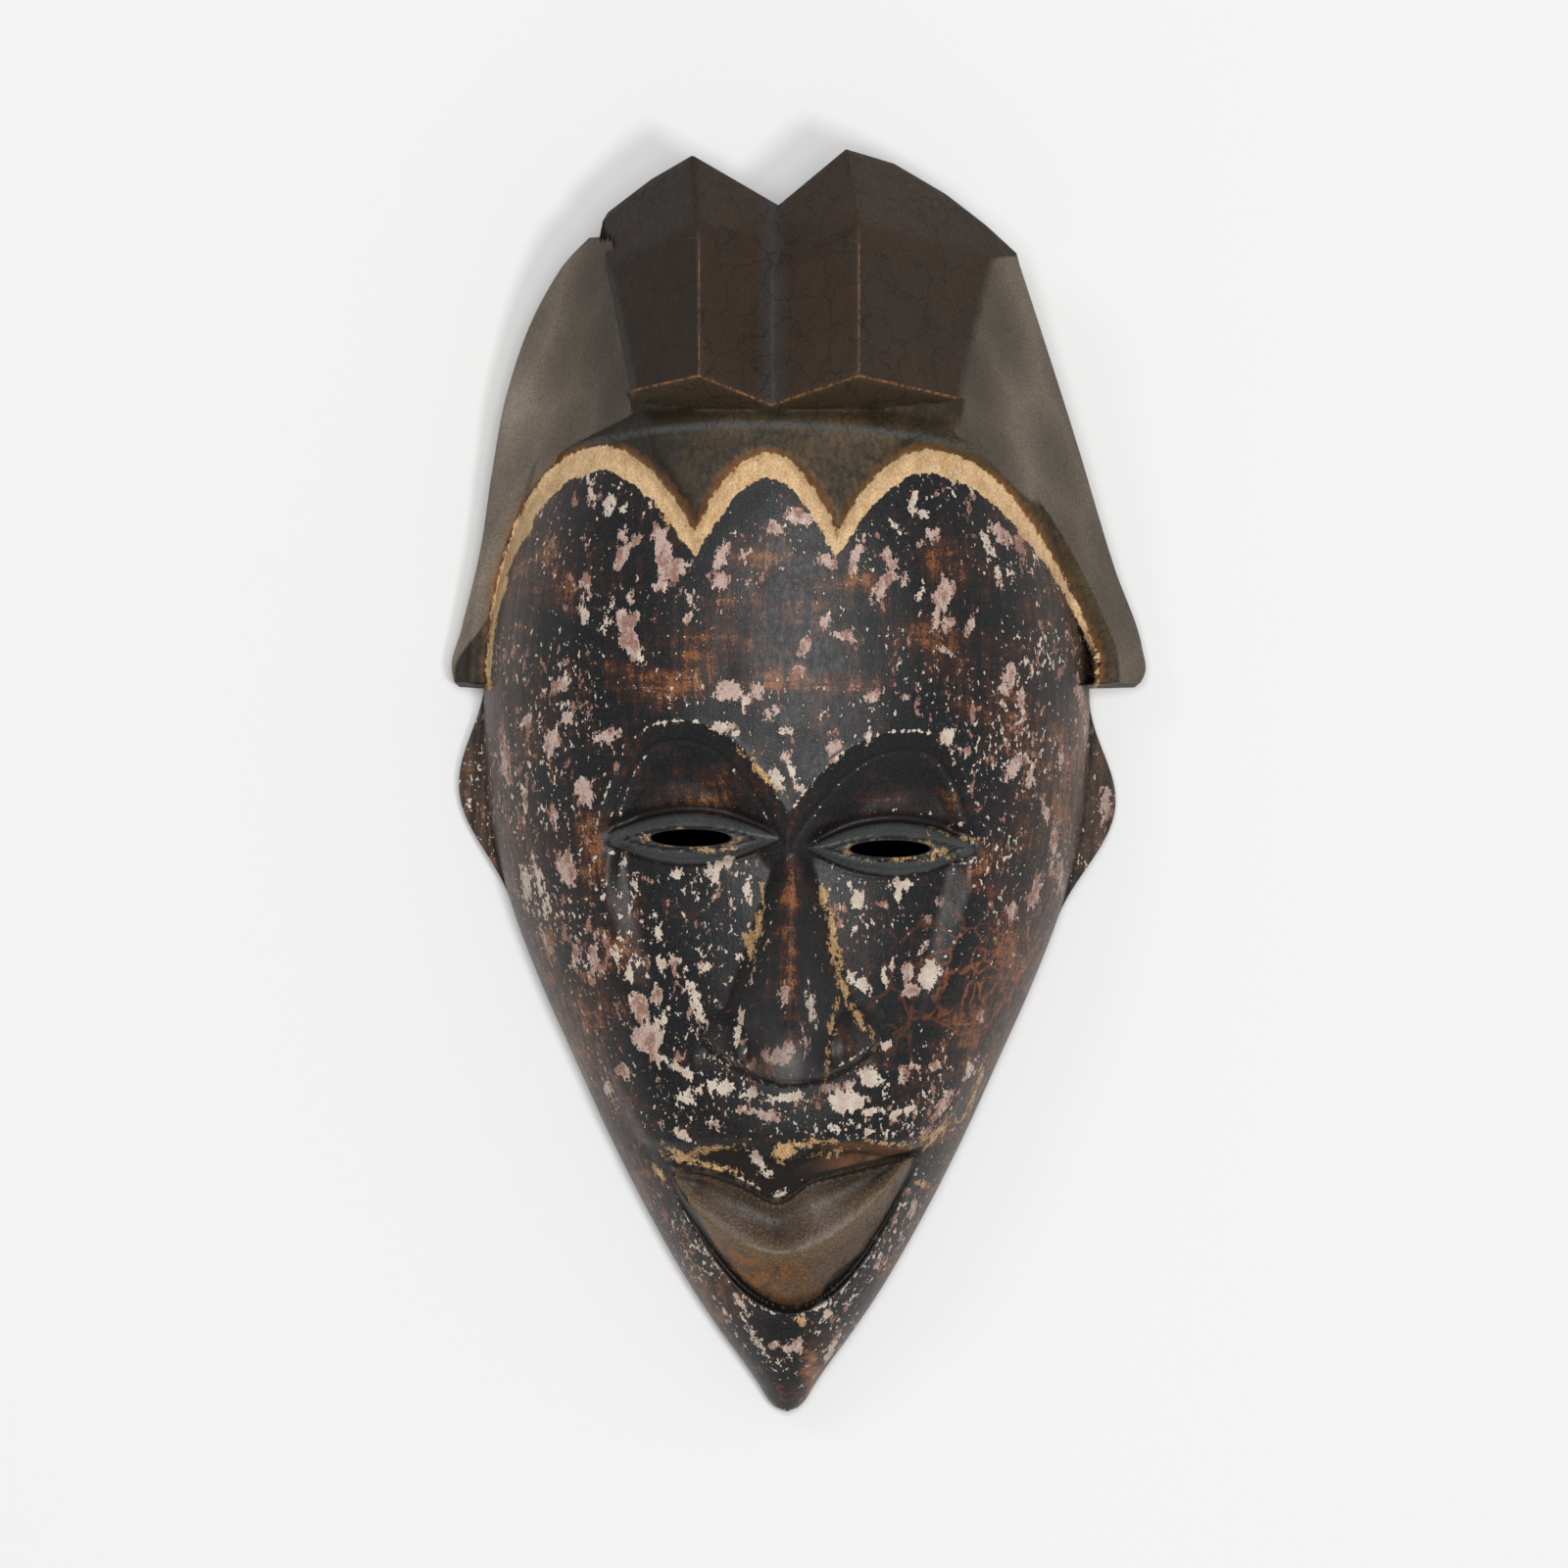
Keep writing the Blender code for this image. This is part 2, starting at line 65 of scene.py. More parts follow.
# The face's half width and its ridge's height, at stations up the face, and how full its section is.
FACE_SIDE = [(0, 0.8), (1, 3.4), (3, 5.6), (8, 8.8), (14, 12.8), (27, 22.3), (40, 31), (66, 46), (92, 59.2), (118, 71),
             (144, 82.6), (170, 92.4), (195, 98.5), (220, 101), (240, 101.5), (262, 100), (285, 95.5),
             (300, 91.5), (325, 85), (350, 75), (380, 58), (405, 36)]
FACE_RIDGE = [(0, 13), (5, 20), (14, 29), (27, 39), (40, 47.5), (60, 57), (80, 66), (110, 76.5), (150, 86),
              (200, 94), (240, 97.6), (275, 98), (305, 95.5), (335, 89.5), (365, 78), (405, 56)]
FACE_FULLNESS = 2.15

# Eyes: the almond's middle, half length and half height, and the slit's middle, for each side.
EYES = [((-32.1, 192.2), 29.7, 8.4), ((35.2, 188.8), 28.6, 8.7)]
SLITS = [(-31.6, 192.5), (34.0, 188.9)]
# The flat in each lid, and the slit that goes through it, with its cutter's length and middle height.
FLAT_LONG, FLAT_TALL = 24, 4.7
SLIT_LENGTH, SLIT_HEIGHT = 26.4, 5.6
SLIT_DEPTH, SLIT_MIDDLE = 98, 74

# Brows: the peak of the arch, its outer end and the outer end's height, for each side.
BROWS = [((-34.6, 230.6), -62.6, 197.0), ((39.2, 227.3), 66.0, 192.0)]
BROW_MEETING = (0.5, 199.4)
# How deep the sockets and cheeks lie, and how far out they reach, at stations up the face.
SOCKET_DEPTH = [(96, 0), (120, 1.5), (150, 4.5), (172, 6.5), (188, 8.0), (206, 9.0), (230, 7.5)]
CHEEK_EDGE = [(96, 50), (125, 51), (154, 58), (180, 64), (240, 66)]

# The nose: its ridge's height and line at stations up the face, the curve of its base and its two wings.
NOSE_RIDGE = [(108, 98), (116, 105.5), (124, 107), (140, 103), (160, 97.5), (180, 91), (193, 86.5), (204, 84.5)]
NOSE_LINE = [(108, 0.5), (150, 1.2), (196, 2.2)]
NOSE_TIP = (0.3, 118.5)
NOSE_BASE = (2.0, 110.7, 0.0155)
NOSTRILS = [(-14.5, 122, 12.5), (16.8, 123, 12.2)]
# Where the cheek's flat breaks off towards the nose: places across at stations up the face, for each side.
CHEEK_BREAKS = [[(118, -33), (127, -28), (132, -22), (142, -16.7), (154, -13.1), (165, -10.5), (180, -7.5), (190, -5)],
                [(112, 31), (124, 28), (134, 23.5), (142, 18.6), (161, 14), (175, 9.8), (190, 7)]]

# Curves that open up the face: middle, foot and how fast each rises.
GROOVE = (1.0, 33.9, 0.028)
CREST = (-2.0, 54.3, 0.0178)
MUZZLE = (2.0, 40.0, 0.0185)
# The upper lip's edge and the muzzle's over it: places across and up the face.
LIP_EDGE = [(-60, 88), (-39, 83.2), (-23.5, 80.6), (-12, 75.9), (-6.5, 72.8), (-3, 71.6), (0.5, 73.4), (6.4, 78.0),
            (18.5, 81.6), (44, 88), (60, 94)]
MUZZLE_EDGE = [(-60, 96), (-40, 89), (-20, 91), (-8, 90), (1, 86.5), (9, 90.5), (20, 91.8), (45, 91.5), (60, 104)]
MOUTH_ENDS = (-39.0, 47.5)
# A flat cut on the left of the jaw: three corners.
JAW_CUT = [(-57.5, 108), (-40, 82.5), (-62, 80)]

# The hairline's scallops: middle, top and how fast each side falls; the notches between them; and how far out to
# the right it goes. The first one's left side is an oval, this far across and this far down.
ARCHES = [(-62, 320, 0.0, 0.0313), (-6.5, 317, 0.0515, 0.056), (47, 318.7, 0.0325, 0.0215)]
NOTCHES = (-29.6, 16.4)
HAIR_END = 102.3
SIDE_REACH, SIDE_FALL = 36.5, 75.0
# How far the cream line reaches in from the hairline, at heights up the face.
LINE_WIDTHS = [(245, 0.1), (267, 0.6), (286, 2.2), (300, 3.8), (312, 6.0)]
# Ears: middle height, half length and how far they stand out, for each side.
EARS = [(208, 37, 9.8), (202, 37, 10.6)]
EAR_HEIGHT = 24
# The cap's half width at stations up the mask, and where the coiffure and the wings begin.
CAP_SIDE = [(243, 140), (300, 124), (330, 118), (420, 118)]
WING_FOOT = 243
# The wings' outer edges, at stations up the mask.
LEFT_WING = [(243, 111), (249, 112.3), (262, 109), (288, 102.6), (314, 98.6), (341, 93.2), (367, 82), (380, 72.5),
             (392, 62)]
RIGHT_WING = [(243, 117.6), (247, 119.8), (256, 118.9), (282, 109.7), (321, 97.6), (360, 85.2), (392, 75)]
# The crown's outline from left to right.
CROWN_TOP = [
    (-75, 395), (-66, 391.5), (-61.9, 391.5), (-61.2, 397), (-59.4, 400), (-45, 410.5), (-31.2, 418),
    (-2.8, 401.7), (19.5, 420), (35.5, 415.8), (52.8, 406), (65.9, 396), (77.3, 385.7),
]
# The lobes' faces, and below the wings': three corners each.
RIGHT_LOBE = [
    ((23.7, 343.8, 110), (23.7, 394.5, 102), (-4.7, 334.7, 96)),
    ((23.7, 394.5, 102), (19.5, 420, 80), (-2.8, 401.7, 74)),
    ((23.7, 343.8, 110), (23.7, 394.5, 102), (58, 337.3, 81)),
    ((23.7, 394.5, 102), (19.5, 420, 80), (77.3, 385.7, 54)),
    ((-4.7, 334.7, 96), (23.7, 343.8, 110), (23.7, 333.5, 90)),
    ((23.7, 343.8, 110), (58, 337.3, 81), (23.7, 333.5, 90)),
]
LEFT_LOBE = [
    ((-28.9, 343.8, 110), (-29.5, 394, 102), (-4.7, 334.7, 96)),
    ((-29.5, 394, 102), (-31.2, 418, 80), (-2.8, 401.7, 74)),
    ((-28.9, 343.8, 110), (-29.5, 394, 102), (-54, 340, 86)),
    ((-29.5, 394, 102), (-31.2, 418, 80), (-61, 392, 64)),
    ((-4.7, 334.7, 96), (-28.9, 343.8, 110), (-28.9, 333.5, 90)),
    ((-28.9, 343.8, 110), (-54, 340, 86), (-28.9, 333.5, 90)),
    ((-60.7, 389.6, 70), (-51.6, 333, 80), (-64, 389.6, 58)),
]
# Where the lobes' ridges run up, the lower edge of the lobes' faces, and how the cap's edge below them rolls.
LOBE_RIDGES = (-28.9, 23.7)
LOBE_FEET = [(-54, 300), (-53, 339.6), (-28.9, 344.3), (-5.2, 335), (23.7, 344.3), (57.5, 337.5), (58.5, 320)]
ROLL = (-8, 331, -0.0016)
# Lines that lean: place at a start and how it goes on from there. The left lobe's side, the left wing's low edge (up
# for each step across) and the foot of the valley.
LOBE_SIDE = (-51.6, 333, -0.161)
WING_LOW_EDGE = (332.8, -51.3, 0.46)
VALLEY = (-5.2, 335, 0.012)
RIGHT_WING_FACE = ((58.3, 341.9, 80), (77.3, 385.7, 54), (118.9, 255.6, 18))
LEFT_WING_FACE = ((-56, 345, 77), (-91.7, 345, 34), (-112.3, 249, 16))
# The hollow: its ends up the mask, how far each end's rounding reaches in, its grid, and the floor of its cutter,
# which is below the mask's so that the cut is clean.
HOLLOW_ENDS, HOLLOW_CURVES = (42, 372), (34, 40)
HOLLOW_GRID, HOLLOW_FLOOR = (60, 90), -4

# How far the side walls lean in for each millimetre of height, and the face's width and the mask's length.
WALL_LEAN, FACE_WIDTH, MASK_LENGTH = 0.14, 203, 420
# Faces that meet at more degrees than this keep a hard edge.
SHARP_ANGLE = 58
# How far a lobe drops past its end, and how far a surface is lifted to leave a place to another.
DROP, LIFT = 98, 98
# Above all of the mask.
ABOVE_ALL = 999

# Flakes and scrapes large enough to know: x, y, half length, half width and turn from the x axis in degrees.
# Two of the pale flakes, (0, 123) and (-2, 120.5) at the nose's tip, are a painted highlight.
PALE_CHIPS = [
    (-19, 241, 4.1, 3.7, 0), (-10, 241, 3, 1.9, 80), (-14, 238, 1.9, 1.8, 0), (-5, 234, 2.7, 2.2, 60),
    (-78, 224, 4.9, 2.6, 80), (-94, 218, 9.7, 1.6, 95), (-86, 232, 2.6, 1.7, 70), (-60, 226, 5.2, 2.4, 0),
    (-67, 208, 5.4, 3, 110), (-73, 182, 5.6, 3.5, 100), (-37, 152, 1.9, 1.5, 0), (-64, 152, 6.1, 1.9, 85),
    (-43, 140, 3.9, 1.9, 90), (-49, 137, 6.5, 2.8, 110), (-46, 126, 5.4, 5.2, 0), (-43, 120, 3.2, 1.7, 140),
    (-1, 141, 3.9, 1.5, 85), (-7, 121, 2.2, 1.5, 80), (-74, 244, 3.7, 1.9, 80), (1, 216, 5.2, 1.6, 115),
    (-87, 204, 4.3, 0.9, 90), (-70, 154, 4.8, 1, 92), (-54, 115, 3.2, 2.2, 0), (-77, 199, 3.9, 1.3, 100),
    (-19, 229, 2.2, 1.5, 0), (-80, 157, 5, 1.2, 110), (29, 239, 3.4, 1.8, 10), (16, 221, 4.3, 3, 80),
    (75, 216, 4.8, 2.4, 65), (81, 212, 7.1, 1.2, 86), (73, 245, 6.3, 1.7, 65), (98, 240, 9.7, 1.4, 105),
    (100, 228, 5.4, 1.2, 92), (107, 204, 6.7, 2.1, 80), (91, 218, 3.8, 1.3, 80), (86, 201, 4.3, 1.3, 95),
    (89, 189, 8.4, 1.3, 86), (91, 180, 6.9, 1.4, 94), (83, 175, 5, 1.9, 75), (75, 168, 3.5, 1.3, 80),
    (50, 171, 2.2, 1.3, 70), (45, 157, 2.7, 1.1, 85), (35, 151, 3.2, 1, 95), (40, 148, 2.8, 2.6, 0),
    (41, 142, 3, 2.4, 60), (6, 126, 5, 1, 100), (43, 117, 1.9, 1.6, 0), (38, 114, 2.4, 1.3, 80),
    (52, 104, 5, 1.6, 62), (50, 117, 2.4, 1.7, 40), (0, 123, 2.6, 2.2, 0), (78, 238, 5.4, 0.9, 90),
    (47, 166, 1.4, 1.1, 0), (65, 133, 1.9, 0.9, 70), (-54, 293, 3.1, 1.5, 70), (-50, 291, 2, 1.4, 70),
    (-54, 286, 5.3, 1.8, 65), (-41, 288, 7.3, 3.3, 100), (-37, 281, 5.5, 2.9, 20), (-42, 276, 2.2, 2, 0),
    (-22, 285, 6.4, 2, 65), (-22, 277, 3.1, 2.9, 45), (-14, 285, 1.8, 1.1, 90), (-13, 276, 1.5, 1.1, 80),
    (-4, 295, 3.1, 2.2, 100), (4, 298, 4.9, 2.6, 165), (13, 284, 3.3, 2.4, 160), (23, 286, 6.8, 1.8, 76),
    (31, 275, 6, 2.1, 62), (34, 284, 4.6, 1.7, 110), (39, 277, 2.4, 1.4, 100), (42, 289, 1.7, 1.4, 0),
    (48, 293, 2.6, 2.2, 0), (71, 293, 5.1, 2.2, 130), (52, 273, 5.7, 3.1, 80), (49, 265, 4.9, 1.4, 85),
    (53, 263, 2.6, 1.7, 60), (61, 263, 2.9, 1, 70), (74, 249, 2.2, 1.5, 0), (73, 243, 5.7, 1.5, 75),
    (77, 236, 6.6, 0.8, 87), (13, 264, 2.9, 2, 90), (19, 259, 4.2, 1.3, 170), (6, 256, 3.8, 1.8, 80),
    (-20, 241, 4, 3.5, 0), (-10, 241, 3.1, 1.9, 100), (-5, 234, 3.1, 1.9, 60), (29, 239, 3.4, 1.9, 10),
    (-52, 258, 8.8, 2.9, 115), (-54, 265, 3.3, 1.9, 110), (-50, 265, 2.2, 1.3, 90), (-66, 276, 3.3, 1, 100),
    (-52, 272, 2.4, 1.3, 80), (-32, 272, 2.4, 1.2, 60), (-32, 266, 2.6, 1.4, 70), (-74, 244, 3.8, 1.5, 70),
    (-73, 232, 2.6, 2.2, 100), (-64, 263, 2, 0.8, 90), (4, 248, 2, 1.7, 0), (39, 239, 1.3, 1, 0),
    (52, 254, 2.6, 1.1, 150), (-22, 110, 4.8, 2.6, 170), (-7, 101, 6, 1.7, 170), (-16, 102, 2.6, 1, 0),
    (-24, 98, 2.3, 1.4, 0), (21, 111, 3.2, 1.4, 20), (14, 110, 2.6, 1.1, 0), (42, 117, 1.7, 1.4, 0),
    (52, 105, 4.3, 1.5, 62), (42, 68, 3.9, 1.1, 78), (1, 22, 3.1, 1.8, 60), (4, 23, 2.9, 1.8, 80),
    (30, 50, 2.5, 1.1, 70), (-4, 23, 2, 1.5, 0), (-2, 120.5, 3.4, 2.8, 0),
]
CREAM_CHIPS = [
    (-22, 229, 2.2, 1.7, 0), (-17, 227, 1.5, 1.3, 0), (-4, 212, 4.1, 2.2, 110), (-87, 178, 7.4, 1.3, 97),
    (-82, 177, 9.3, 1.2, 105), (-81, 169, 2.4, 1.3, 80), (-51, 175, 4.3, 1.1, 80), (-54, 183, 2.2, 0.8, 80),
    (-23, 183, 5, 1.8, 20), (-24, 180, 3.5, 1.4, 70), (-37, 180, 2.6, 1.9, 10), (-13, 176, 4.3, 1.4, 95),
    (-30, 173, 2.6, 0.9, 90), (-43, 160, 2.6, 1.4, 90), (-42, 151, 2.8, 1.4, 90), (-30, 139, 8, 1.6, 108),
    (-41, 133, 3.9, 1.9, 85), (-32, 114, 3.7, 1.7, 150), (-39, 118, 3.7, 0.9, 140), (-52, 147, 2.8, 1.6, 100),
    (-56, 153, 2.8, 0.9, 100), (-22, 110, 5.2, 2.4, 172), (-12, 108, 3.9, 1.6, 0), (-33, 106, 3, 1.7, 160),
    (0, 107, 6.3, 1.7, 10), (-16, 130, 4.5, 0.9, 80), (-36, 94, 3, 1, 160), (-59, 108, 3.5, 0.6, 105),
    (-29, 109, 1.2, 1, 0), (-44, 167, 1.3, 0.9, 0), (-47, 146, 1.3, 1, 0), (-27, 150, 1.3, 1, 0),
    (53, 226, 2.8, 1.9, 80), (23, 172, 3, 2.1, 60), (38, 177, 3.9, 1.8, 5), (37, 174, 2.8, 1.4, 90),
    (22, 163, 1.3, 1.1, 0), (47, 147, 4.8, 3.2, 75), (23, 145, 4.1, 1.8, 148), (26, 143, 1.9, 0.9, 120),
    (32, 147, 1.9, 0.9, 90), (8, 137, 7.1, 1.1, 98), (28, 113, 3.9, 2.8, 160), (20, 105, 6.7, 3.5, 8),
    (33, 109, 2.8, 1, 90), (39, 102, 4.3, 1.3, 12), (28, 102, 3.9, 1.4, 0), (61, 115, 3, 1.2, 65),
    (16, 96, 1.7, 1.4, 0), (33, 94, 2.6, 1.2, 0), (20, 178, 1.2, 0.9, 0), (33, 124, 1.5, 1.2, 0),
    (-3, 212, 2.6, 1.5, 100), (2, 214, 5.4, 1.3, 115), (27, 226, 2.2, 1.2, 80), (-1, 228, 1.7, 1.2, 0),
    (-58, 304, 5.1, 1.4, 68), (-65, 308, 3.3, 0.8, 100), (-54, 301, 1.3, 1.1, 0), (-44, 304, 2.4, 0.8, 55),
    (42, 304, 3.1, 1, 75), (45, 299, 2.9, 1.2, 150), (36, 295, 2.2, 1, 140), (66, 291, 2.4, 0.9, 110),
    (68, 287, 2.8, 1, 100), (70, 279, 2.6, 0.8, 100), (74, 279, 2.9, 0.7, 105), (82, 284, 2.9, 0.8, 90),
    (44, 273, 3.3, 0.8, 80), (-67, 267, 4.2, 1, 95), (-59, 266, 3.3, 0.7, 80), (-48, 251, 2.2, 0.8, 100),
    (-14, 237, 2.2, 1.3, 70), (59, 310, 6.8, 1.1, 158), (-34, 106, 2.9, 1.3, 160), (-29, 109, 1.1, 1.1, 0),
    (-12, 108, 3.7, 1.4, 0), (-1, 107, 5.7, 1.5, 10), (27, 113, 3.4, 2.2, 160), (19, 106, 5.7, 2.8, 8),
    (32, 109, 2.2, 0.8, 90), (28, 102, 3.4, 1.3, 0), (39, 102, 4.2, 1.1, 15), (-36, 95, 2.6, 0.7, 160),
    (-33, 93, 2.2, 0.8, 150), (15, 96, 1.5, 1.2, 0), (28, 95, 1.3, 0.8, 0), (32, 94, 2.2, 0.9, 0),
    (-9, 85, 4.8, 1.5, 125), (-2, 74, 2.6, 1.2, 35), (-13, 78, 3.4, 1, 160), (-16, 38, 2.6, 0.7, 125),
    (-12, 33, 1.6, 1.2, 0), (-13, 30, 3.4, 0.9, 120), (12, 37, 2.2, 0.8, 30), (13, 33, 1.8, 0.8, 50),
    (-7, 20, 3.9, 0.6, 130), (10, 26, 1.4, 0.9, 45), (15, 21, 4, 1, 55), (-16, 26, 2.3, 0.5, 120),
    (-29, 56, 1.5, 0.6, 140), (38, 59, 1.8, 0.5, 70), (-37, 64, 1.5, 0.5, 110), (-22, 36, 2.8, 0.4, 120),
    (22, 39, 1.1, 0.5, 40),
]
TAN_SCRAPES = [
    (-7.5, 213, 7.2, 1.2, 132), (-9, 166, 11.9, 1, 82), (-12, 157, 4.3, 1.2, 80), (-46, 192.5, 2.2, 1.5, 0),
    (-28, 188.6, 7, 0.35, 0), (12, 174, 3.7, 1.5, 95), (15, 159, 14.1, 1.4, 102), (19, 142, 3.9, 1.6, 110),
    (23, 134, 8.5, 0.9, 122), (28, 126, 3.4, 0.8, 100), (14.5, 127, 10.4, 0.6, 84), (49, 188, 3.4, 1.3, 8),
    (40, 185.6, 7, 0.4, 3), (57, 193, 5.2, 0.5, 168), (62.8, 108, 8, 0.9, 72), (57, 98, 4.2, 0.9, 35),
    (51, 95, 5.6, 0.8, 30), (-42, 303, 6.6, 1.8, 115), (-26, 89, 6.6, 0.8, 8), (-37, 88, 4, 0.9, 150),
    (-35, 86, 4.6, 1.2, 172), (-1, 88.6, 4.6, 3.1, 12), (4, 91, 5, 1.6, 3), (-3, 85, 1.6, 1.1, 0),
    (13, 92, 7, 0.9, 3), (12, 87.6, 5.1, 0.5, 8), (35, 91, 7.4, 0.8, 176), (-24, 82.6, 8.5, 1.7, 171),
    (-38, 80, 4.6, 0.9, 115), (4, 32, 2.3, 1.4, 140), (45, 77, 2.6, 1, 160), (-42, 80, 2.6, 0.8, 130),
    (50, 93, 4.6, 0.5, 38),
]

# Wood rubbed through the black: x, y, reach across, reach up, strength.
RUBBED = [
    (-63, 187, 3, 11, 1.3), (-21, 258, 24, 9, 0.75), (-9, 285, 13, 5, 0.9), (-33, 244, 14, 8, 0.7),
    (49, 260, 13, 9, 0.7), (56, 243, 11, 14, 0.45), (52, 284, 8, 13, 0.7), (-73, 285, 11, 15, 0.35),
    (13, 260, 15, 6, 0.6), (-4, 268, 30, 6, 0.8), (6, 245, 24, 5, 0.7), (20, 276, 16, 5, 0.7),
    (-51, 243, 20, 9, 0.7), (-83, 228, 11, 10, 0.4), (-64, 189, 6, 18, 0.9), (-60, 152, 11, 28, 0.6),
    (-71, 125, 12, 24, 0.45), (-30, 206, 20, 8, 0.5), (0.6, 157, 3.5, 32, 0.9), (53, 240, 12, 13, 0.25),
    (74, 230, 12, 12, 0.35), (37, 203, 23, 7, 0.45), (88, 204, 13, 22, 0.15), (74, 145, 20, 20, 0.25),
    (59, 138, 11, 16, 0.25), (65, 182, 7, 13, 0.5), (8, 15, 4, 10, 1.1), (1, 7, 5, 4, 0.5), (24, 84, 16, 5, 1),
    (-20, 38, 5, 12, 0.5), (-8, 118, 8, 6, 0.7), (-50, 78, 4, 12, 0.5), (40, 50, 5, 16, 0.4),
]

# Where more or fewer flakes are strewn: x, y, reach across, reach up, amount.
FLAKY_PATCHES = [(-55, 270, 24, 28.8, -0.35), (8, 255, 24, 24, -0.15), (72, 135, 23.4, 26, -0.45),
                 (-45, 160, 30, 30, 0.25)]

# Lamps: name, place in metres, size and share of the key light's power.
LAMPS = [("key", (0.42, -0.2, 2.4), 0.25, 0.6), ("fill", (-1.1, 1.0, 1.9), 0.5, 0.12),
         ("overhead", (0.0, 0.3, 5.4), 1.4, 6.8)]
CAMERA_PLACE = (-0.0049, 0.0003)
# The mask's middle height, which view_width is measured at.
FOCUS_HEIGHT = 0.04
# Floor and card: corners across and up the face, and height. The card is painted shade: a black sheet in the hollow
# under the eyes, so that the slits look down into the dark.
FLOOR = ((-4, -4), (4, 4), 0)
SHADE_CARD = ((-0.07, -0.07), (0.07, 0.03), 0.001)


def linear(code):
    """An sRGB hex colour as linear red, green and blue."""
    parts = [int(code[i : i + 2], 16) / 255 for i in (1, 3, 5)]
    return [part / 12.92 if part <= 0.04045 else ((part + 0.055) / 1.055) ** 2.4 for part in parts]


def rgba(value):
    """A linear colour with full cover."""
    return (*value, 1)


def length(name, note, default):
    """A setting in metres."""
    return bpy.props.FloatProperty(name=name, description=note, default=default, unit="LENGTH", precision=5)


def colour(name, note, code):
    """A colour setting, its default given as an sRGB hex code."""
    return bpy.props.FloatVectorProperty(
        name=name, description=note, default=linear(code), subtype="COLOR", size=3, min=0, max=1
    )


class MaskCarving(bpy.types.PropertyGroup):
    """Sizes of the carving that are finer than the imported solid."""

    rim: length("Rim height", "Height of the front's edge over the floor", 0.008)
    wall: length("Wall", "Thickness of the wood between the front and the hollow", 0.017)
    rim_width: length("Rim width", "Width of the rim round the hollow", 0.011)
    brow_step: length("Brow step", "Depth of the step under each brow", 0.0034)
    brow_band: length("Brow band", "Width of the bevelled band along each brow", 0.0056)
    tool_marks: length("Tool marks", "Depth of the adze marks on the coiffure", 0.00035)
    waviness: length("Waviness", "Depth of the hand-carved unevenness of the face", 0.0004)
    columns: bpy.props.IntProperty(name="Columns", description="Columns of the front's grid", default=228)
    rows: bpy.props.IntProperty(name="Rows", description="Rows of the front's grid", default=400)


class MaskColours(bpy.types.PropertyGroup):
    """Colours of the wood, its blackening and its worn paint."""

    black: colour("Blackening", "Charcoal satin coat of the face", "#141517")
    brown: colour("Rubbed wood", "Red-brown wood where the black is rubbed thin", "#34211a")
    orange: colour("Worn wood", "Orange wood at worn edges", "#8d5a2b")
    pale: colour("Flakes", "Pinkish clay ground where the black has flaked", "#b89f93")
    cream: colour("Cream specks", "Cream clay left in chips", "#d0c5b5")
    band: colour("Hairline", "Cream clay line along the hair", "#cdae85")
    tan: colour("Scrapes", "Bare pale wood at scraped edges", "#c6a273")
    coiffure: colour("Coiffure", "Grey-brown coat of the coiffure", "#332519")
    wing: colour("Wings", "Dusty grey-brown of the wings", "#7a6f62")
    cap: colour("Cap", "Olive brown of the cap below the lobes", "#483a22")
    lips: colour("Lips", "Olive brown of the lips", "#493a2d")
    inside: colour("Hollow", "Plain darkened wood of the hollow", "#6a4c34")


class MaskStage(bpy.types.PropertyGroup):
    """The studio round the mask."""

    floor: colour("Floor", "White studio floor", "#e9e9e9")
    camera_height: length("Camera height", "Height of the camera over the floor", 4.6)
    view_width: length("View width", "Width of the picture at the mask's middle height", 0.5226)
    daylight: bpy.props.FloatProperty(name="Daylight", description="Strength of the white surroundings", default=0.27)
    key: bpy.props.FloatProperty(name="Key light", description="Power of the key light", default=26, unit="POWER")


def curve(at, pairs):
    """The smooth curve through (place, value) pairs, a cubic between each two."""
    places, values = np.array(pairs, float).T
    slopes = np.gradient(values, places)
    i = np.clip(np.searchsorted(places, at) - 1, 0, len(places) - 2)
    gap = places[i + 1] - places[i]
    t = np.clip((at - places[i]) / gap, 0, 1)
    start = (1 + 2 * t) * (1 - t) ** 2 * values[i] + t * (1 - t) ** 2 * gap * slopes[i]
    end = t * t * (3 - 2 * t) * values[i + 1] + t * t * (t - 1) * gap * slopes[i + 1]
    return start + end


def ramp(value, width):
    """0 below zero and 1 past width, with a smooth turn at both ends."""
    t = np.clip(value / width, 0, 1)
    return t * t * (3 - 2 * t)


def soft_max(a, b, blend):
    """The larger of two heights, with the crease between them rounded."""
    return (a + b + np.sqrt((a - b) ** 2 + blend**2)) / 2


def soft_min(a, b, blend):
    """The smaller of two heights, with the ridge between them rounded."""
    return (a + b - np.sqrt((a - b) ** 2 + blend**2)) / 2


def slant(value, width, turn):
    """0 below zero and 1 past width, straight between them, with a rounded turn at both ends."""
    return (soft_max(value, 0, turn) - soft_max(value - width, 0, turn)) / width


def ridge(distance, width):
    """A bump of height 1 along a line: the bell curve of the distance to it."""
    return np.exp(-((distance / width) ** 2))


def lumps(x, y, size, seed):
    """Smooth random values from -1 to 1: one for each square of that size, blended by cubic ramps."""
    table = np.random.default_rng(seed).uniform(-1, 1, (128, 128))
    i, j = np.floor(x / size).astype(int), np.floor(y / size).astype(int)
    tx, ty = ramp(x / size - i, 1), ramp(y / size - j, 1)
    low = table[i % 128, j % 128] * (1 - tx) + table[(i + 1) % 128, j % 128] * tx
    high = table[i % 128, (j + 1) % 128] * (1 - tx) + table[(i + 1) % 128, (j + 1) % 128] * tx
    return low * (1 - ty) + high * ty


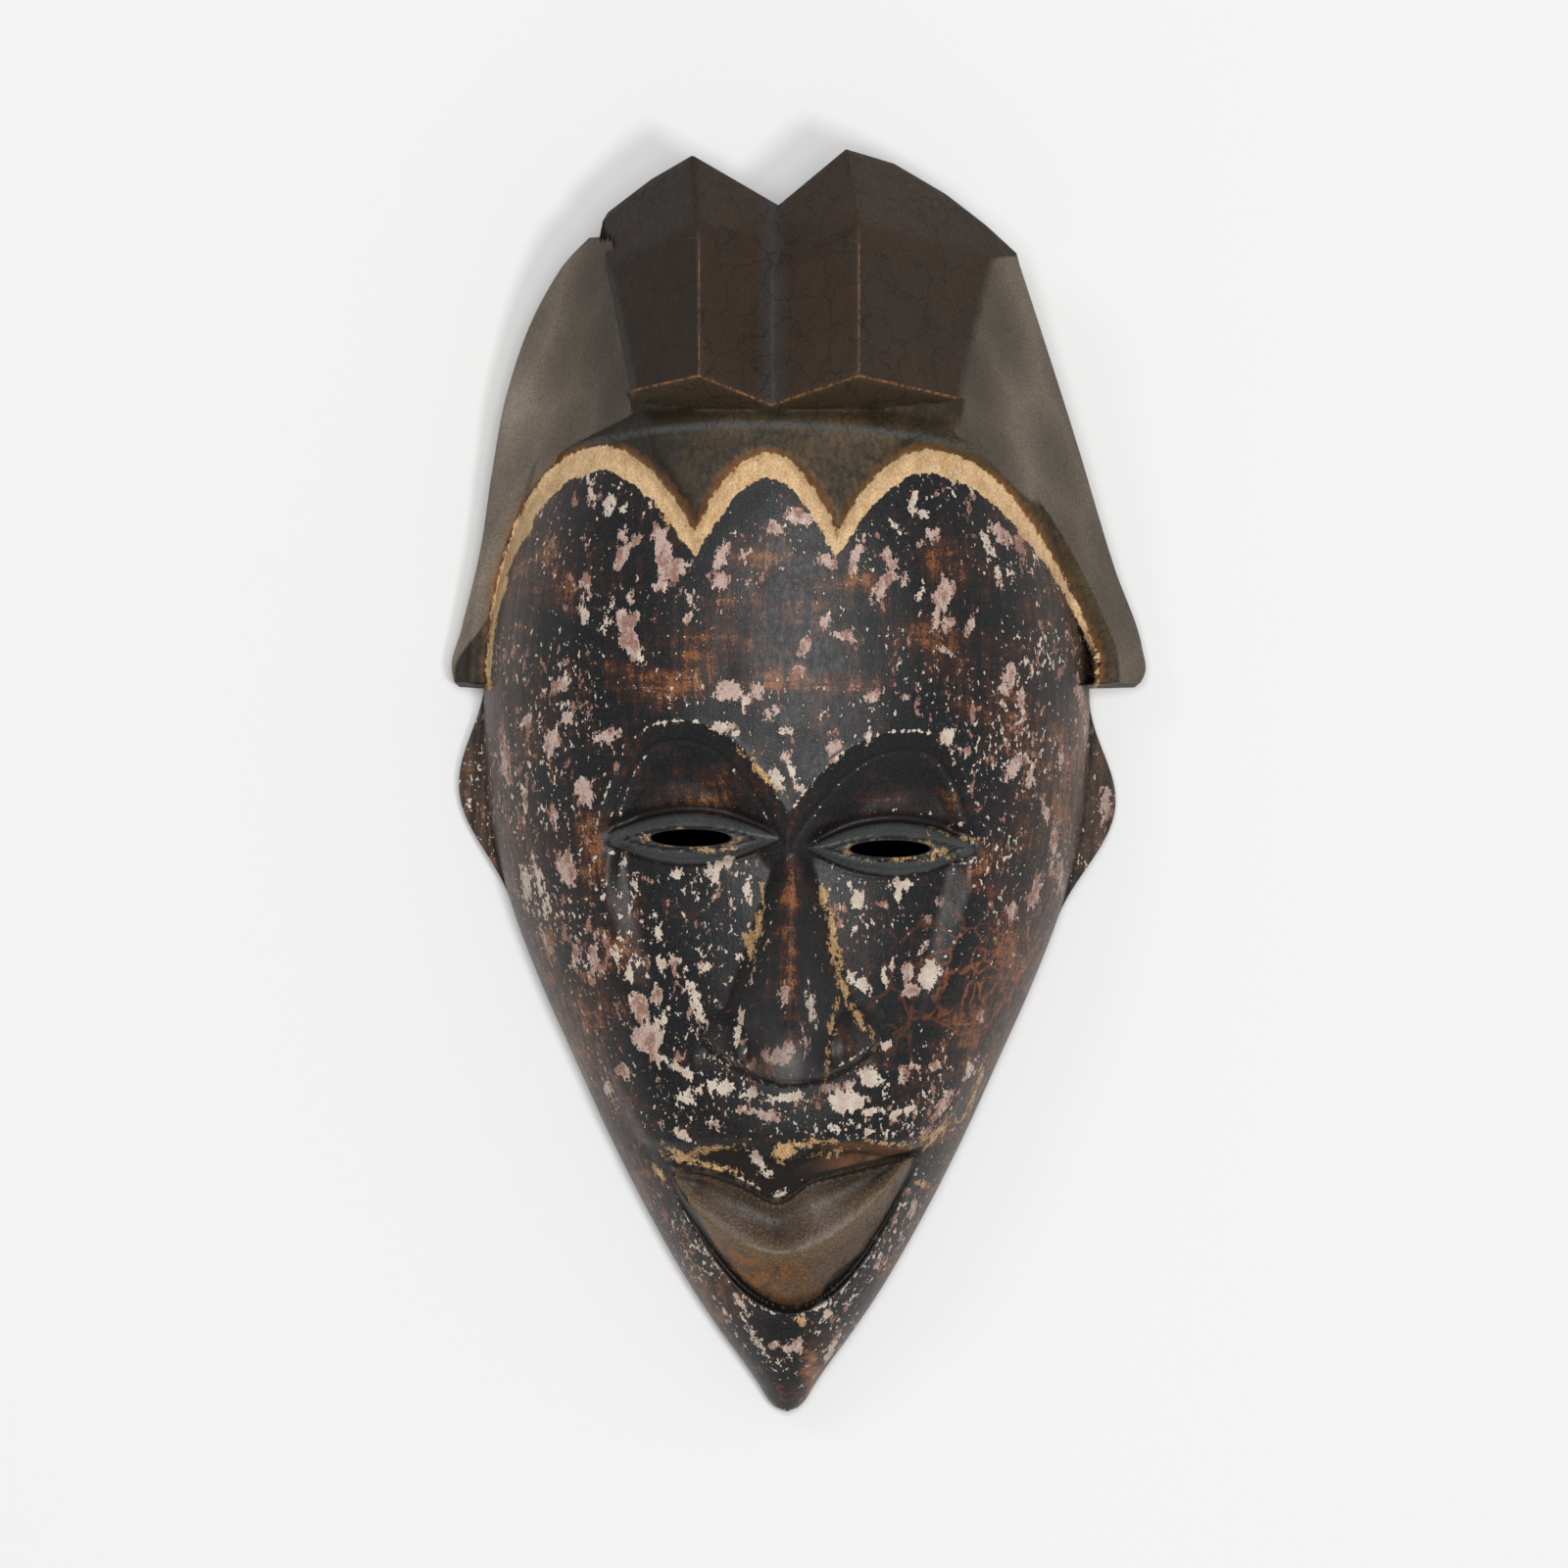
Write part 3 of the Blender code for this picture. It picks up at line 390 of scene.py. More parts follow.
def scoops(x, y, size, seed):
    """Adze marks: squared distance to the nearest of the points strewn one in each square, so that scoops meet in
    ridges."""
    table = np.random.default_rng(seed).uniform(0.1, 0.9, (2, 128, 128))
    i, j = np.floor(x / size).astype(int), np.floor(y / size).astype(int)
    nearest = np.full(np.shape(x), 9.0)
    for di in (-1, 0, 1):
        for dj in (-1, 0, 1):
            a, b = table[:, (i + di) % 128, (j + dj) % 128]
            gap = (x / size - i - di - a) ** 2 + (y / size - j - dj - b) ** 2
            nearest = np.minimum(nearest, gap)
    return nearest


def face_half_width(y):
    """The face's half width at stations up the face."""
    return curve(y, FACE_SIDE)


def dome(x, y, rim):
    """The face before its features: an oval section at each station, standing on the rim."""
    share = np.clip(np.abs(x) / face_half_width(y), 0, 1)
    rise = curve(y, FACE_RIDGE) - rim
    return rim + rise * np.sqrt(np.clip(1 - share**FACE_FULLNESS, 0, 1))


def brow_line(x, side):
    """Height up the face of one brow's arch: a power of the distance from its peak, steeper on the outer side."""
    (peak, top), end, foot = BROWS[side]
    turn = (x - peak) * (1 if side else -1)
    outside = top - (top - foot) * (np.abs(turn) / abs(end - peak)) ** 3
    inside = top - (top - BROW_MEETING[1]) * (np.abs(turn) / abs(peak - BROW_MEETING[0])) ** 2.1
    return np.where(turn > 0, outside, inside)


def below_line(x, y, line):
    """Distance below a line given as a function of x, measured square to it."""
    slope = (line(x + 0.2) - line(x - 0.2)) / 0.4
    return (line(x) - y) / np.sqrt(1 + slope**2)


def above_bowl(x, y, bowl):
    """Distance above a parabola that opens up the face: its middle, its foot and how fast it rises."""
    middle, foot, opening = bowl
    return below_line(x, -y, lambda v: -(foot + opening * (v - middle) ** 2))


def almond(x, y, middle, long, tall):
    """Distance inside a pointed oval, 0 on its edge and negative outside."""
    dx, dy = x - middle[0], y - middle[1]
    share = np.clip(np.abs(dx) / long, 0, 1.15)
    return (tall * (1 - share**2) - np.abs(dy)) / np.sqrt(1 + (2 * tall * share / long) ** 2)


def under_brows(x, y):
    """Distance below the brow arch of the nearer eye."""
    left = below_line(x, y, lambda v: brow_line(v, 0))
    right = below_line(x, y, lambda v: brow_line(v, 1))
    return np.where(x > BROW_MEETING[0], right, left)


def carve_sockets(x, y, z, sizes):
    """Sinks the sockets and cheeks below a brow edge: a thin lip, a straight bevel inside it, then a slow fall."""
    inside = under_brows(x, y)
    high = ramp(y - 176, 22)
    band, step = sizes.brow_band / MM, sizes.brow_step / MM
    z = z - high * step * slant(inside, band, 0.5) + 0.45 * high * ridge(inside + 0.5, 0.8)
    z = z - 0.35 * high * ridge(inside - band, 0.8)
    rest = curve(y, SOCKET_DEPTH) - step * high
    return z - rest * ramp(inside - 0.7 * band * high, 16) * ramp(curve(y, CHEEK_EDGE) - np.abs(x), 13)


def carve_eyes(x, y, z, base):
    """Raises an almond of lids in each socket: a folded edge above, a low edge that melts into the cheek below, and a
    shallow flat inside it for the slit."""
    for middle, long, tall in EYES:
        outer = almond(x, y, middle, long, tall)
        inner = almond(x, y, middle, FLAT_LONG, FLAT_TALL)
        near = ramp(long + 2 - np.abs(x - middle[0]), 8)
        above = ramp(y - middle[1] + 1.5, 3)
        z = z - 1.6 * near * above * ridge(outer + 1.8, 1.7)
        z = z - 0.5 * near * (1 - above) * ridge(outer + 0.9, 0.7)
        lid = base - 2.4
        edge = above * (0.55 * ramp(outer + 0.5, 1.4) + 0.45 * ramp(outer, 5))
        edge = edge + (1 - above) * (0.3 * ramp(outer + 0.3, 1.0) + 0.7 * ramp(outer, 6.5))
        z = z + (lid - z) * edge
        z = z - 1.3 * ramp(inner, 0.9) + 0.2 * ridge(inner + 0.5, 0.6) * ramp(outer, 1)
    return z


def carve_nose(x, y, z):
    """A narrow ridge with steep sides and a ball at its tip, in a channel between the cheeks. Two nostril wings, each
    parted from the tip by a groove, stand over a curved base."""
    cheek = np.where(x < 1, x - curve(y, CHEEK_BREAKS[0]), curve(y, CHEEK_BREAKS[1]) - x)
    reach = ramp(y - 114, 14) * ramp(192 - y, 16)
    z = z - 2.4 * reach * ramp(cheek, 5)
    across = x - curve(y, NOSE_LINE)
    body = curve(y, NOSE_RIDGE) - 1.45 * (np.sqrt(across**2 + 2.6**2) - 2.6)
    body = body - 3 * ramp(y - 197, 14) * (y - 197)
    body = body + 1.8 * ridge(np.hypot(across, (y - 119) * 0.8), 7)
    for middle, height, half in NOSTRILS:
        off = ((x - middle) / half) ** 2 + ((y - height) / 15) ** 2
        body = soft_max(body, 91 - 13 * off, 1.0)
    body = body - 1.6 * ridge(np.abs(across) - 8.6, 3.2) * ramp(136 - y, 10)
    nose = soft_max(z, body, 0.8)
    return z + (nose - z) * ramp(above_bowl(x, y, NOSE_BASE), 2.4)


def lip_distances(x, y):
    """Distances above the groove, above the lower lip's crest, above the upper lip's edge and above the muzzle's."""
    lip, muzzle = y - curve(x, LIP_EDGE), y - curve(x, MUZZLE_EDGE)
    return above_bowl(x, y, GROOVE), above_bowl(x, y, CREST), lip, muzzle


def in_jaw_cut(x, y):
    """Distance inside the three-cornered cut on the jaw: the least of the distances to its sides."""
    sides = []
    for (ax, ay), (bx, by) in zip(JAW_CUT, JAW_CUT[1:] + JAW_CUT[:1]):
        long = np.hypot(bx - ax, by - ay)
        sides.append(((by - ay) * (x - ax) - (bx - ax) * (y - ay)) / long)
    return np.minimum.reduce(sides)


def carve_mouth(x, y, z):
    """A muzzle, an upper lip cut in under it, a scooped mouth, a full lower lip and a groove round it."""
    groove, crest, lip, muzzle = lip_distances(x, y)
    full = ramp(above_bowl(x, y, MUZZLE), 5) * ramp(128 - y, 34) * ramp(muzzle + 2, 5)
    z = z + full * (2.2 + 2.0 * ramp(np.abs(x) - 26, 22))
    width = ramp(groove - np.minimum(lip, 0), 16)
    t = np.clip(groove / np.maximum(groove - crest, 1), 0, 1)
    outside = 4.5 - 10.5 * (1 - t) ** 1.6
    s = np.clip(crest / np.maximum(crest - lip, 1), 0, 1)
    scoop = 4.5 - 10.0 * np.sin(np.minimum(s * 1.25, 1.0) * np.pi / 2) ** 1.3
    profile = np.where(crest < 0, outside, scoop)
    z = z + profile * width * ramp(groove, 2.2) * ramp(-lip, 1.6)
    z = z + 0.5 * width * ridge(groove + 1.0, 1.0)
    ends = ramp(x - MOUTH_ENDS[0], 8) * ramp(MOUTH_ENDS[1] - x, 8)
    z = z - 4.0 * ramp(lip + 2, 2) * ramp(-muzzle, 4) * ends * ramp(groove, 3)
    tubercle = ridge(np.hypot((x - 1) * 0.7, (y - 82) * 0.9), 4.6)
    z = z + 1.8 * tubercle * ramp(lip, 2)
    return z - 1.3 * slant(in_jaw_cut(x, y), 2.5, 0.4)


def past_hairline(x, y):
    """Distance outside the scalloped hairline, negative on the face: three parabolas, the first one's side an oval,
    with a straight end at the right."""
    distances = []
    for middle, top, left, right in ARCHES:
        fall = np.where(x < middle, left, right)
        height = top - fall * (x - middle) ** 2
        distances.append((y - height) / np.sqrt(1 + (2 * fall * (x - middle)) ** 2))
    arch = np.where(x < NOTCHES[0], distances[0], np.where(x < NOTCHES[1], distances[1], distances[2]))
    middle, top = ARCHES[0][:2]
    dx, dy = x - middle, np.maximum(y - (top - SIDE_FALL), 0)
    ring = np.sqrt((dx / SIDE_REACH) ** 2 + (dy / SIDE_FALL) ** 2) + 1e-6
    oval = (ring - 1) * ring / np.sqrt((dx / SIDE_REACH**2) ** 2 + (dy / SIDE_FALL**2) ** 2 + 1e-9)
    return np.where(x < middle, oval, np.maximum(arch, x - HAIR_END))


def plane_height(x, y, corners):
    """Height at (x, y) of the plane through three corners."""
    a, b, c = (np.array(corner, float) for corner in corners)
    normal = np.cross(b - a, c - a)
    return a[2] - (normal[0] * (x - a[0]) + normal[1] * (y - a[1])) / normal[2]


def lobe(x, y, facets):
    """A block cut by planes: at each point the lowest of them is its surface, with its edges worn round."""
    height = plane_height(x, y, facets[0])
    for corners in facets[1:]:
        height = soft_min(height, plane_height(x, y, corners), 0.9)
    return height


def leaning_line(y, line):
    """Place across of a straight line that leans as it goes up."""
    across, start, lean = line
    return across + lean * (y - start)


def wing_faces(x, y):
    """The two wings' outer planes, one to each side."""
    return np.minimum(plane_height(x, y, RIGHT_WING_FACE), plane_height(x, y, LEFT_WING_FACE))


def blocks(x, y):
    """The two lobes before the wings' faces cut them, each ending a little past the valley."""
    past = x - leaning_line(y, VALLEY)
    left = lobe(x, y, LEFT_LOBE) - DROP * ramp(past - 6, 6)
    return soft_max(left, lobe(x, y, RIGHT_LOBE) - DROP * ramp(-past - 6, 6), 0.6)


def crown_lobes(x, y):
    """The two lobes over the cap, parted by a valley, with the right one cut by the right wing's face."""
    return np.minimum(blocks(x, y), np.where(x > 0, plane_height(x, y, RIGHT_WING_FACE), ABOVE_ALL))


def head_cap(x, y, base, rim):
    """The cap over the head: an oval section a little above the face's, with a rolled edge below the lobes. At the
    left it drops under the wing's face below the wing's low edge, and beside the lobe it leaves the place to it."""
    past = past_hairline(x, y)
    share = np.clip(np.abs(x) / curve(y, CAP_SIDE), 0, 1)
    cap = rim + 4 + (curve(y, FACE_RIDGE) - rim) * np.sqrt(1 - share**FACE_FULLNESS)
    roll = above_bowl(x, y, ROLL)
    cap = cap - 3.5 * ramp(roll, 5) + 0.7 * ridge(roll + 2.5, 2.6)
    foot = np.maximum(base, np.minimum(wing_faces(x, y) - 12, 50))
    cap = soft_min(cap, foot + 1.5 * past, 2.0)
    past_side = x - leaning_line(y, LOBE_SIDE)
    below = np.maximum(leaning_line(x, WING_LOW_EDGE) - y, past_side) * ramp(x + 80, 8)
    cap = np.where(x < -40, np.minimum(cap, wing_faces(x, y) + 2 - 4 * ramp(below, 1.5)), cap)
    beside = (y > LOBE_SIDE[1]) & (past_side < 3.5 * ramp(y - 339, 5) * ramp(392 - y, 2))
    return np.where(beside, wing_faces(x, y) + LIFT, cap - 40 * ramp(y - 348, 25))


def coiffure(x, y, base, rim):
    """The cap, cut by the wings' outer faces, with the crown's two lobes on top."""
    low = soft_min(head_cap(x, y, base, rim), wing_faces(x, y), 0.8)
    return soft_max(low, crown_lobes(x, y), 0.3)


def ears(x, y, rim):
    """A low crescent on each side of the face, a squared cosine along it: its height and how far it stands out."""
    side = (x > 0).astype(int)
    middle, half, reach = (np.take([ear[k] for ear in EARS], side) for k in range(3))
    bump = np.cos(np.clip((y - middle) / half, -1, 1) * np.pi / 2) ** 2
    height = rim + (EAR_HEIGHT - rim) * np.sqrt(bump) * ramp(112 - np.abs(x), 30)
    return height, bump * reach


def is_hair(x, y):
    """True on the coiffure."""
    return (y > WING_FOOT) & (past_hairline(x, y) > 0)


def long_cuts(x, y):
    """The adze's long scoops down the wings, leaning with their outer edges."""
    return scoops(x + 0.32 * np.abs(y - WING_FOOT) * np.sign(x), y * 0.42, 13, 10)


def unevenness(x, y, sizes):
    """What the tools left: slow waves and faint scoops on the face, clear adze scoops on the coiffure and wings."""
    waves = lumps(x, y, 23, 1) + 0.5 * lumps(x, y, 11, 2) + 0.22 * lumps(x, y, 5, 3)
    marks = scoops(x + 0.3 * y, y, 13, 4) + 0.6 * scoops(x - 0.5 * y, y * 0.7, 8, 5)
    on_hair = ramp(past_hairline(x, y) - 4, 8) * (y > WING_FOOT)
    cut = sizes.tool_marks / MM * (0.2 + 1.3 * on_hair)
    out = ramp(np.abs(x + 4) - 52, 14) * on_hair
    return sizes.waviness / MM * waves + cut * (marks - 0.5) + 5 * sizes.tool_marks / MM * out * (long_cuts(x, y) - 0.4)


def mask_height(x, y, sizes):
    """Height of the carved front over the floor."""
    rim = sizes.rim / MM
    base = dome(x, y, rim)
    z = carve_sockets(x, y, base, sizes)
    z = carve_eyes(x, y, z, base)
    z = carve_nose(x, y, z)
    z = carve_mouth(x, y, z)
    ear_height, ear_reach = ears(x, y, rim)
    z = np.where(ear_reach > 0, np.maximum(z, ear_height), z)
    z = np.where(is_hair(x, y), coiffure(x, y, base, rim), z)
    return z + unevenness(x, y, sizes) * ramp(z - rim, 6)


def spread_front(u, v, sizes):
    """Places of the front's points: u runs across, -1 to 1, and v from the chin, 0, to the crown, 1. The outermost
    columns spread over the wings, and near the left lobe's side they lean with it. The rows near the top are lifted
    to the crown's outline; each lift moves a leaning column across, so both are found in a few rounds."""
    shares, stations = np.array(ROW_SHARES, float).T
    y = np.interp(v, shares, stations)
    low = face_half_width(y) + ears(u, y, 8)[1]
    wing = np.where(u < 0, curve(y, LEFT_WING), curve(y, RIGHT_WING))
    reach = np.where(y > WING_FOOT, wing, low)
    inner = face_half_width(y)
    x = inner * (0.55 * u + 0.45 * np.sin(u * np.pi / 2))
    outer = 0.12 + 0.43 * ramp(np.abs(y - WING_FOOT) - 1, 40)
    straight = x + (reach - inner) * np.sign(u) * ramp(np.abs(u) - 1 + outer, outer)
    room = np.clip(np.minimum((reach + straight) / 14, (straight + 76) / -20 + 3), 0, 1) * ramp(-5 - straight, 30)
    top = ROW_SHARES[-1][1]
    lift = np.clip((y - 330) / (top - 330), 0, 1) ** 1.5
    lifted = y
    for _ in range(3):
        x = straight + room * LOBE_SIDE[2] * np.maximum(lifted - LOBE_SIDE[1], 0)
        lifted = y + lift * (np.interp(x, *np.array(CROWN_TOP).T) - top)
    y = lifted
    return x, y, np.maximum(mask_height(x, y, sizes), sizes.rim / MM)


def rounded_end(distance, reach):
    """0 at an end and 1 past reach, along a quarter of an oval."""
    return np.sqrt(1 - np.clip(1 - distance / reach, 0, 1) ** 2)


def spread_hollow(u, v, sizes):
    """Places of the hollow's points: a bowl under the face, down to the floor at its edge, with faint gouge marks."""
    low, high = HOLLOW_ENDS
    y = low + (high - low) * (1 - np.cos(v * np.pi)) / 2
    rise = rounded_end(y - low, HOLLOW_CURVES[0]) * rounded_end(high - y, HOLLOW_CURVES[1])
    across = np.sin(u * np.pi / 2)
    x = (face_half_width(y) - sizes.rim_width / MM) * rise * across
    height = (curve(y, FACE_RIDGE) - sizes.wall / MM) * rise * np.sqrt(1 - np.abs(across) ** FACE_FULLNESS)
    return x, y, height + 1.6 * (scoops(x, y, 14, 6) - 0.4) * ramp(height, 12)


def add_object(name, data):
    """Puts an object that shows this data into the scene."""
    obj = bpy.data.objects.new(name, data)
    bpy.context.scene.collection.objects.link(obj)
    return obj


def block(name, columns, rows, spread, lean, floor):
    """A closed mesh in millimetres: a grid over the points that spread gives, walls down to a flat floor, and a base.
    The walls' feet stand in by the lean times their height, in proportion to their distance from the chin's line."""
    u, v = np.meshgrid(np.linspace(-1, 1, columns + 1), np.linspace(0, 1, rows + 1))
    x, y, z = spread(u.ravel(), v.ravel())
    points = np.stack([x, y, z], axis=1)
    index = np.arange((columns + 1) * (rows + 1)).reshape(rows + 1, columns + 1)
    quads = np.stack([index[:-1, :-1], index[:-1, 1:], index[1:, 1:], index[1:, :-1]], axis=-1).reshape(-1, 4)
    loop = np.concatenate([index[0, :-1], index[:-1, -1], index[-1, :0:-1], index[:0:-1, 0]])
    feet = points[loop].copy()
    inward = lean * feet[:, 2]
    feet[:, 0] *= 1 - inward / FACE_WIDTH
    feet[:, 1] -= inward * feet[:, 1] / MASK_LENGTH
    feet[:, 2] = floor
    below = len(points) + np.arange(len(loop))
    after = np.roll(np.arange(len(loop)), -1)
    walls = np.stack([loop, below, below[after], loop[after]], axis=1)
    mesh = bpy.data.meshes.new(name)
    faces = [*quads.tolist(), *walls.tolist(), below[::-1].tolist()]
    mesh.from_pydata(np.concatenate([points, feet]).tolist(), [], faces)
    mesh.validate()
    return add_object(name, mesh)


def slit_cutter(index):
    """An oval prism through one eye."""
    bm = bmesh.new()
    bmesh.ops.create_cone(bm, cap_ends=True, segments=48, radius1=0.5, radius2=0.5, depth=1)
    bmesh.ops.scale(bm, vec=(SLIT_LENGTH, SLIT_HEIGHT, SLIT_DEPTH), verts=bm.verts)
    bmesh.ops.translate(bm, vec=(*SLITS[index], SLIT_MIDDLE), verts=bm.verts)
    mesh = bpy.data.meshes.new("slit")
    bm.to_mesh(mesh)
    bm.free()
    return add_object("slit", mesh)


def marked(x, y, marks):
    """Distance inside the nearest of the marks, each an oval: one less the scaled distance to its middle, times its
    half width."""
    inside = np.full(len(x), -8.0)
    for mx, my, long, wide, turn in marks:
        dx, dy = x - mx, y - my
        near = np.hypot(dx, dy) < long + 9
        c, s = np.cos(np.radians(turn)), np.sin(np.radians(turn))
        off = np.hypot((dx[near] * c + dy[near] * s) / long, (dy[near] * c - dx[near] * s) / wide)
        inside[near] = np.maximum(inside[near], (1 - off) * wide)
    return inside


def bend(x, y, sizes, reach):
    """How sharply the front turns at a point, positive in hollows and negative on edges, per millimetre."""
    middle = mask_height(x, y, sizes)
    left, right = mask_height(x - reach, y, sizes), mask_height(x + reach, y, sizes)
    down, up = mask_height(x, y - reach, sizes), mask_height(x, y + reach, sizes)
    slope = ((right - left) ** 2 + (up - down) ** 2) / (4 * reach * reach)
    return (left + right + down + up - 4 * middle) / reach**2 / (1 + slope) ** 1.2


def finish_maps(x, y, sizes):
    """What each point of the front needs to take its finish, by name: distances in millimetres inside or past an
    edge, or shares from 0 to 1."""
    past = past_hairline(x, y)
    groove, crest, lip, muzzle = lip_distances(x, y)
    fine, broad = bend(x, y, sizes, 1.1), bend(x, y, sizes, 4.5)
    hair = is_hair(x, y)
    rubbed = np.zeros(len(x))
    for rx, ry, wide, tall, amount in RUBBED:
        rubbed = np.maximum(rubbed, amount * np.exp(-((((x - rx) / wide) ** 2 + ((y - ry) / tall) ** 2) ** 1.5)))
    side = np.abs(x) / face_half_width(y)
    flaky = 0.48 + 0.45 * lumps(x, y, 17, 8) + 0.3 * ridge(y - 102, 12) * ramp(60 - np.abs(x), 20)
    flaky = flaky + 0.25 * ridge(side - 0.75, 0.2)
    for px, py, wide, tall, amount in FLAKY_PATCHES:
        flaky = flaky + amount * ridge(np.hypot((x - px) / wide, (y - py) / tall), 1)
    flaky = flaky - 1.2 * ramp(under_brows(x, y), 4) * ramp(y - 192, 10) * (np.abs(x) < 64)
    flaky = flaky - 2 * ramp(in_jaw_cut(x, y), 1)
    flaky = np.where((np.abs(x - 3) < 48) & (muzzle < 0) & (lip > -2), 0, flaky) - 0.12 * ramp(60 - y, 30)
    nose = ridge(x - curve(y, NOSE_LINE), 5) * ramp(y - 112, 10) * ramp(205 - y, 10)
    flaky = flaky - 0.8 * nose
    wings = wing_faces(x, y)
    low_wing = past - 3 - np.where(x < 0, 10 * ramp(268 - y, 20), 6 * ramp(280 - y, 34))
    base = dome(x, y, sizes.rim / MM)
    solid = blocks(x, y)
    caps = head_cap(x, y, base, sizes.rim / MM)
    cut_face = np.where(x < 0, np.minimum(caps - wings, wings - solid), np.maximum(caps, solid) - wings)
    cut_face = cut_face + 8 * ramp(-74 - x, 8)
    lids = np.maximum.reduce([almond(x, y, middle, long, tall) for middle, long, tall in EYES])
    return {
        "past_hairline": np.where(y > WING_FOOT - 2, past, -30),
        "line_width": np.interp(y, *np.array(LINE_WIDTHS).T) + 0.9 * lumps(x, y, 6, 9)
        - np.maximum(ridge(x - NOTCHES[0], 3.6), ridge(x - NOTCHES[1], 3.6)) * (y < 292),
        "inside_lips": np.minimum(groove - 1.9 - 1.4 * ramp(4 - x, 12) * ramp(84 - y, 20)
                                  - 4.5 * ridge(np.hypot(x - 18, y - 46), 8), -lip),
        "groove": np.minimum(groove, 3 * (1.5 - lip)),
        "slit": np.maximum.reduce([(1 - np.hypot((x - sx) / SLIT_LENGTH, (y - sy) / SLIT_HEIGHT) * 2) * SLIT_HEIGHT / 2
                                   for sx, sy in SLITS]),
        "ridges": np.where((y > 344) & (y < 390), x - np.where(x < VALLEY[0], *LOBE_RIDGES), 9),
        "feet": y - np.interp(x, *np.array(LOBE_FEET).T),
        "valley": np.where(y > 333, x - leaning_line(y, VALLEY), 30),
        # Painted light on the nose: a highlight on its tip, less a painted shade on the nostrils beside it.
        "tip": ridge(np.hypot(x - NOSE_TIP[0], y - NOSE_TIP[1]), 6.5)
        - 0.8 * ridge(np.abs(x - NOSE_TIP[0]) - 9, 4) * ridge(y - 118, 14),
        "roll": above_bowl(x, y, ROLL),
        "cuts": long_cuts(x, y),
        "recess": np.where(np.abs(x - 3) < 52, np.minimum(lip + 0.5, -muzzle + 0.5), -9),
        "across": x,
        "below_crest": -crest,
        "inside_lids": np.clip(lids, -20, 20),
        "pale": marked(x, y, PALE_CHIPS),
        "cream": marked(x, y, CREAM_CHIPS),
        "tan": marked(x, y, TAN_SCRAPES),
        "rubbed": rubbed,
        "flaky": np.where(hair, 0, np.clip(flaky, 0, 1)),
        "side": np.clip(side, 0, 1.2),
        "edge": np.clip((-fine - 0.05) / 0.35, 0, 1) * np.where(hair | ((groove > 0) & (lip < 0)), 0, 1 - nose),
        "crease": np.clip((fine - 0.05) / 0.35, 0, 1),
        "hollow": np.clip(broad / 0.08, -1, 1),
        "crown": np.where(hair, np.clip(solid - np.minimum(caps, wings), -20, 20), -20),
        "wing": np.where(hair, np.clip(np.minimum(cut_face, low_wing), -20, 20), -20),
        "veined": ridge(np.hypot((x - 66) / 1.1, y - 142), 26),
    }


# The setting that tells most about a kind of node.
MAIN_SETTINGS = {"Math": "operation", "VectorMath": "operation", "Mix": "data_type"}


def add_node(tree, kind, inputs=(), out=0, **settings):
    """Adds a shader node with its settings, the main one after a colon in its kind. Its inputs, by name or by order,
    are linked to a socket or set to a value or the colour of a hex code. Returns one output."""
    kind, _, choice = kind.partition(":")
    node = tree.nodes.new("ShaderNode" + kind)
    if choice:
        settings[MAIN_SETTINGS[kind]] = choice
    for name, value in settings.items():
        setattr(node, name, value)
    usable = [socket for socket in node.inputs if socket.enabled]
    for key, value in inputs.items() if isinstance(inputs, dict) else enumerate(inputs):
        socket = node.inputs[key] if isinstance(key, str) else usable[key]
        if isinstance(value, bpy.types.NodeSocket):
            tree.links.new(value, socket)
        else:
            socket.default_value = rgba(linear(value)) if isinstance(value, str) else value
    shown = dict(enumerate(socket for socket in node.outputs if socket.enabled))
    return node.outputs[out] if isinstance(out, str) else shown.get(out)


def new_material(name):
    """A material with an empty node tree, and the function that adds nodes to it."""
    material = bpy.data.materials.new(name)
    material.use_nodes = True
    material.node_tree.nodes.clear()
    return material, functools.partial(add_node, material.node_tree)


